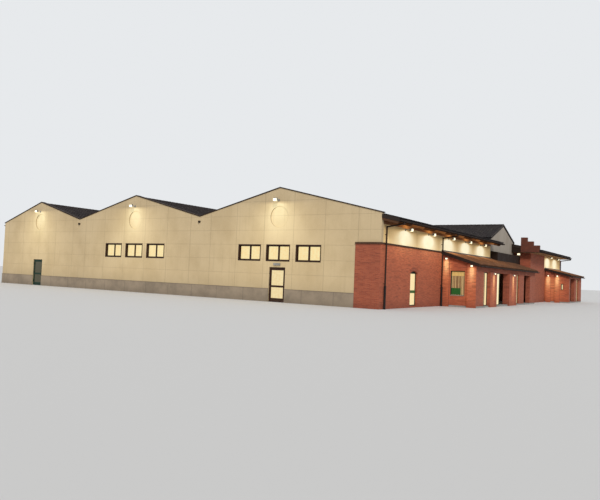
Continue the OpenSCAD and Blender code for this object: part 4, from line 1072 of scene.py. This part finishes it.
class StoreFilm(bpy.types.Operator):
    """Puts green film on the front's windows and blinds behind the porch end window"""

    bl_idname = "store.set_film"
    bl_label = "Set Window Film"

    def execute(self, context):
        at = lines()
        corner = Vector((at.front + END_X, low("porch_end_walls").y + PILASTER_OUT, 0))

        def pane(x0, x1, y0, y1, z0, z1):
            """Corners of a thin sheet in the porch end window, from the opening's corner."""
            return corner + Vector((x0, y0, z0)), corner + Vector((x1, y1, z1))

        x, y = at.front - 0.070, at.gable + ARCH_Y
        film = [((x - 0.001, y + 0.034, 0.502), (x + 0.002, y + ARCH_W - 0.034, 0.594)),
                pane(0.033, 0.390, 0.0770, 0.0785, 0.470, 0.717)]
        make_boxes("window_film", film, film_look("green_film", (0.012, 0.085, 0.016)))

        left, right, foot, head = 0.033, 0.532, 0.459, 1.180
        slats = [pane(middle - wide / 2, middle + wide / 2, 0.0790, 0.0805, foot, head + 0.002)
                 for middle, wide in ((0.052, 0.030), (0.115, 0.022), (0.185, 0.034),
                                      (0.310, 0.026), (0.405, 0.022), (0.462, 0.050),
                                      (0.520, 0.022))]
        # Painted shade: a dark sheet behind the slats stands in for the shadow between them
        shadow_sheet = [pane(left, right, 0.0810, 0.0825, foot, head)]
        top = [pane(left, right, 0.0780, 0.0825, head, 1.343)]
        for name, panes, finish, colour in (
                ("blind_painted_shadow", shadow_sheet, "blind_shadow", (0.200, 0.118, 0.052)),
                ("blind_slats", slats, "blind_cream", (0.450, 0.320, 0.150)),
                ("blind_head", top, "blind_head_cream", (0.560, 0.380, 0.130))):
            make_boxes(name, panes, film_look(finish, colour))
        return {"FINISHED"}


class StoreLamps(bpy.types.Operator):
    """Fits the lit lenses, visors and fins of the floodlights and bulkhead lamps"""

    bl_idname = "store.fit_lamps"
    bl_label = "Fit Lamps"

    def execute(self, context):
        at = lines()
        glass, trim = bmesh.new(), bmesh.new()
        # Corners of each lamp's parts, on a wall that faces -Y
        flood = [(glass, (-0.066, -0.240, -0.052), (0.066, -0.186, -0.0455)),
                 (glass, (-0.070, -0.262, -0.048), (0.070, -0.254, 0.034)),
                 (trim, (-0.080, -0.256, 0.045), (0.080, -0.176, 0.049))]
        flood += [(trim, (left, -0.246, 0.048), (left + 0.006, -0.186, 0.062))
                  for left in (-0.060 + i * 0.019 for i in range(7))]
        bulkhead = [(trim, (-0.046, -0.072, 0.022), (0.046, -0.038, 0.028)),
                    (glass, (-0.030, -0.064, -0.030), (0.044, -0.038, 0.018))]
        door_light = [(trim, (-0.135, -0.054, 1.272), (0.135, -0.001, 1.352))]

        def fit(parts, place, faces_x=False):
            """Adds a lamp to a wall, turned where the wall faces X."""
            turn = Matrix.Rotation(math.pi / 2 if faces_x else 0.0, 4, "Z")
            for bm, lo, hi in parts:
                bmesh.ops.transform(bm, matrix=Matrix.Translation(place) @ turn,
                                    verts=add_box(bm, lo, hi))

        for bay in "abc":
            fit(flood, (at.mid[bay] - FLOOD_SET, at.gable, at.ridge[bay] - FLOOD_DROP))
        for (first, pitch, count), x, z in (
                (eaves_lamps(), at.front, EAVES_LAMP_Z),
                (wing_lamps(), high("wing_front_wall").x, wing_lamp_z())):
            for i in range(count):
                fit(flood, (x, first + i * pitch, z), True)
        fit(flood, (at.front + 0.320, low("wing_end_walls").y, wing_lamp_z()))
        for place, faces_x in small_lamps():
            fit(bulkhead, place, faces_x)
        fit(door_light, (at.mid["a"], at.gable, 0))
        lens = lens_look("lamp_lens", (1.0, 0.90, 0.58), 1.5)
        metal = metal_look("lamp_grey", (0.240, 0.235, 0.225), 0.4)
        make_piece("lamp_lenses", glass, lens, bevel=0.002)
        make_piece("lamp_trim", trim, metal)
        return {"FINISHED"}


# Finishes of the frame's own nodes

class StoreFinishes(bpy.types.Operator):
    """Gives every node of the frame its finish"""

    bl_idname = "store.finish_nodes"
    bl_label = "Finish Building"

    def execute(self, context):
        c = context.scene.store_colours
        # Looks given lit=True or a row of lamps carry painted pools of lamp light in their emission
        # colour
        finishes = (
            (panel_look("precast_cream", c.panel),
             "gable_lower_walls bay_a_upper_wall bay_b_wall bay_c_upper_wall back_wall "
             "far_side_wall"),
            (brick_look("front_bricks", c.brick_red, c.brick_dark, c.mortar, lit=True),
             "front_brick_wall corner_brick_facing porch_end_walls porch_front_piers "
             "porch_beams wing_end_walls wing_front_wall wing_porch_end_walls "
             "wing_porch_piers"),
            # Painted shade: the crest's bricks are the front's bricks darkened to about a third
            (brick_look("crest_bricks_painted_shade", rgb(c.brick_red, 0.36), rgb(c.brick_dark, 0.34),
                        rgb(c.mortar, 0.36)), "stepped_crest"),
            (metal_look("dark_trim", c.trim, 0.6, 0.12), "gable_caps gutters downpipes"),
            (metal_look("pent_roof_metal", rgb(c.trim, 0.8), 0.6, 0.12), "entrance_pent_roof"),
            (metal_look("brown_frames", c.frame_brown, 0.35, 0.2),
             "gable_window_frames bay_a_door_frame bay_a_door_leaf"),
            (metal_look("green_frames", c.frame_green, 0.35, 0.2),
             "bay_c_door_frame bay_c_door_leaf entrance_window_frames"),
            (metal_look("lamp_housing", (0.240, 0.235, 0.225), 0.4), "outside_lamps"),
            (concrete_look("cast_concrete", (0.360, 0.350, 0.330)), "floor_slab columns beams"),
            (concrete_look("plinth_concrete", c.plinth, 1.250), "plinth_bands"),
            (glass_look("gable_panes", (1.0, 0.68, 0.27), (1.0, 0.87, 0.45), 0.85),
             "gable_window_glass"),
            (glass_look("door_panes", (0.90, 0.62, 0.26), (1.0, 0.84, 0.46), 0.80),
             "bay_a_door_glass"),
            (glass_look("far_door_panes", (0.016, 0.022, 0.004), (0.040, 0.046, 0.014), 0.5,
                        0.15), "bay_c_door_glass"),
            (glass_look("front_panes", (1.0, 0.72, 0.32), (1.0, 0.88, 0.52), 0.88),
             "entrance_window_glass"),
            (render_look("cream_render", c.render, row=eaves_lamps()), "front_upper_wall"),
            (render_look("wing_cream_render", c.render, row=wing_lamps(),
                         lamp_z=wing_lamp_z()), "wing_upper_wall"),
            (render_look("grey_render", c.grey, 0.40), "cross_gable_wall"),
            (stone_look("coping_stone", (0.070, 0.036, 0.022)), "front_copings"),
            (slab_look("main_roof_slab", c.tile_dark, c.boards),
             "roof_a roof_b roof_c wing_roof cross_gable_roof"),
            (slab_look("porch_roof_slab", c.porch_dark, c.boards), "porch_roof"),
            (slab_look("wing_porch_slab", c.porch_dark, c.boards), "wing_porch_roof"),
            (slab_look("wing_eaves_boards", c.trim, (0.42, 0.27, 0.13)), "wing_eaves_box"),
            (wood_look("rafter_wood", (0.085, 0.036, 0.015), eaves_lamps()), "eaves_rafters"),
        )
        done = set()
        for look, nodes in finishes:
            for node in nodes.split():
                dress(node, look)
                done.add(node)
        missing = set(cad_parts) - done
        if missing:
            raise RuntimeError("no finish for " + ", ".join(sorted(missing)))
        return {"FINISHED"}


class StoreStage(bpy.types.Operator):
    """Sets the pale floor, the light and the camera"""

    bl_idname = "store.set_stage"
    bl_label = "Set Stage"

    def execute(self, context):
        scene = context.scene
        bm = bmesh.new()
        bmesh.ops.create_grid(bm, x_segments=1, y_segments=1, size=160.0,
                              matrix=Matrix.Translation((0, 0, -0.001)))
        pale = Look("pale_floor").finish(rgb((0.62, 0.62, 0.62)), 0.9)
        make_object("stage_floor", bm, pale)

        sky = Look("soft_sky", "worlds", "OutputWorld")
        seen = sky.node("LightPath", out="Is Camera Ray")
        for ray in ("Is Glossy Ray", "Is Transmission Ray"):
            seen = seen.math("MAXIMUM", sky.node("LightPath", out=ray))
        light = sky.node("Background", None,
                         {"Color": rgb((0.96, 0.98, 1.0)), "Strength": 0.62})
        backdrop = sky.node("Background", None,
                            {"Color": rgb((0.80, 0.82, 0.84)), "Strength": 1.0})
        blend = sky.node("MixShader", None, {0: seen, 1: light, 2: backdrop})
        scene.world = sky.end(blend)

        sun = bpy.data.lights.new("soft_sun", "SUN")
        sun.energy = 2.0
        sun.angle = math.radians(12)
        sun.color = (1.0, 0.96, 0.90)
        lamp = bpy.data.objects.new("soft_sun", sun)
        lamp.rotation_euler = Vector((-0.62, 0.80, -0.62)).to_track_quat("-Z", "Y").to_euler()
        scene.collection.objects.link(lamp)

        camera = bpy.data.cameras.new("photo_view")
        camera.lens = 36.83
        camera.sensor_width = 36.0
        camera.clip_end = 500.0
        eye = bpy.data.objects.new("photo_view", camera)
        right = Vector((0.83615, 0.54701, 0.04045))
        up = Vector((-0.01162, -0.05608, 0.99836))
        turn = Matrix((right, up, right.cross(up))).transposed().to_4x4()
        eye.matrix_world = Matrix.Translation((17.5445, -29.3331, 0.9751)) @ turn
        scene.collection.objects.link(eye)
        scene.camera = eye
        scene.view_settings.view_transform = "Standard"
        return {"FINISHED"}


STEPS = (StoreTiles, StoreRidges, StoreValleys, StoreEdges, StoreStraps, StoreArch, StoreSills,
         StoreFilm, StoreLamps, StoreFinishes, StoreStage)


class VIEW3D_PT_store(bpy.types.Panel):
    """Lists the steps, sizes and colours"""

    bl_label = "Supermarket Building"
    bl_space_type = "VIEW_3D"
    bl_region_type = "UI"
    bl_category = "Store"

    def draw(self, context):
        layout = self.layout
        for step in STEPS:
            layout.operator(step.bl_idname)
        for group in (context.scene.store_sizes, context.scene.store_colours):
            column = layout.column()
            for key in group.__annotations__:
                column.prop(group, key)


CLASSES = (StoreSizes, StoreColours, *STEPS, VIEW3D_PT_store)


def register():
    for made in CLASSES:
        bpy.utils.register_class(made)
    bpy.types.Scene.store_sizes = bpy.props.PointerProperty(type=StoreSizes)
    bpy.types.Scene.store_colours = bpy.props.PointerProperty(type=StoreColours)


def unregister():
    del bpy.types.Scene.store_colours
    del bpy.types.Scene.store_sizes
    for made in reversed(CLASSES):
        bpy.utils.unregister_class(made)


def main():
    """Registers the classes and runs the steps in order."""
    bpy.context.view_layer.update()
    register()
    for step in STEPS:
        group, name = step.bl_idname.split(".")
        getattr(getattr(bpy.ops, group), name)()
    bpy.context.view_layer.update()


if __name__ == "__main__":
    main()
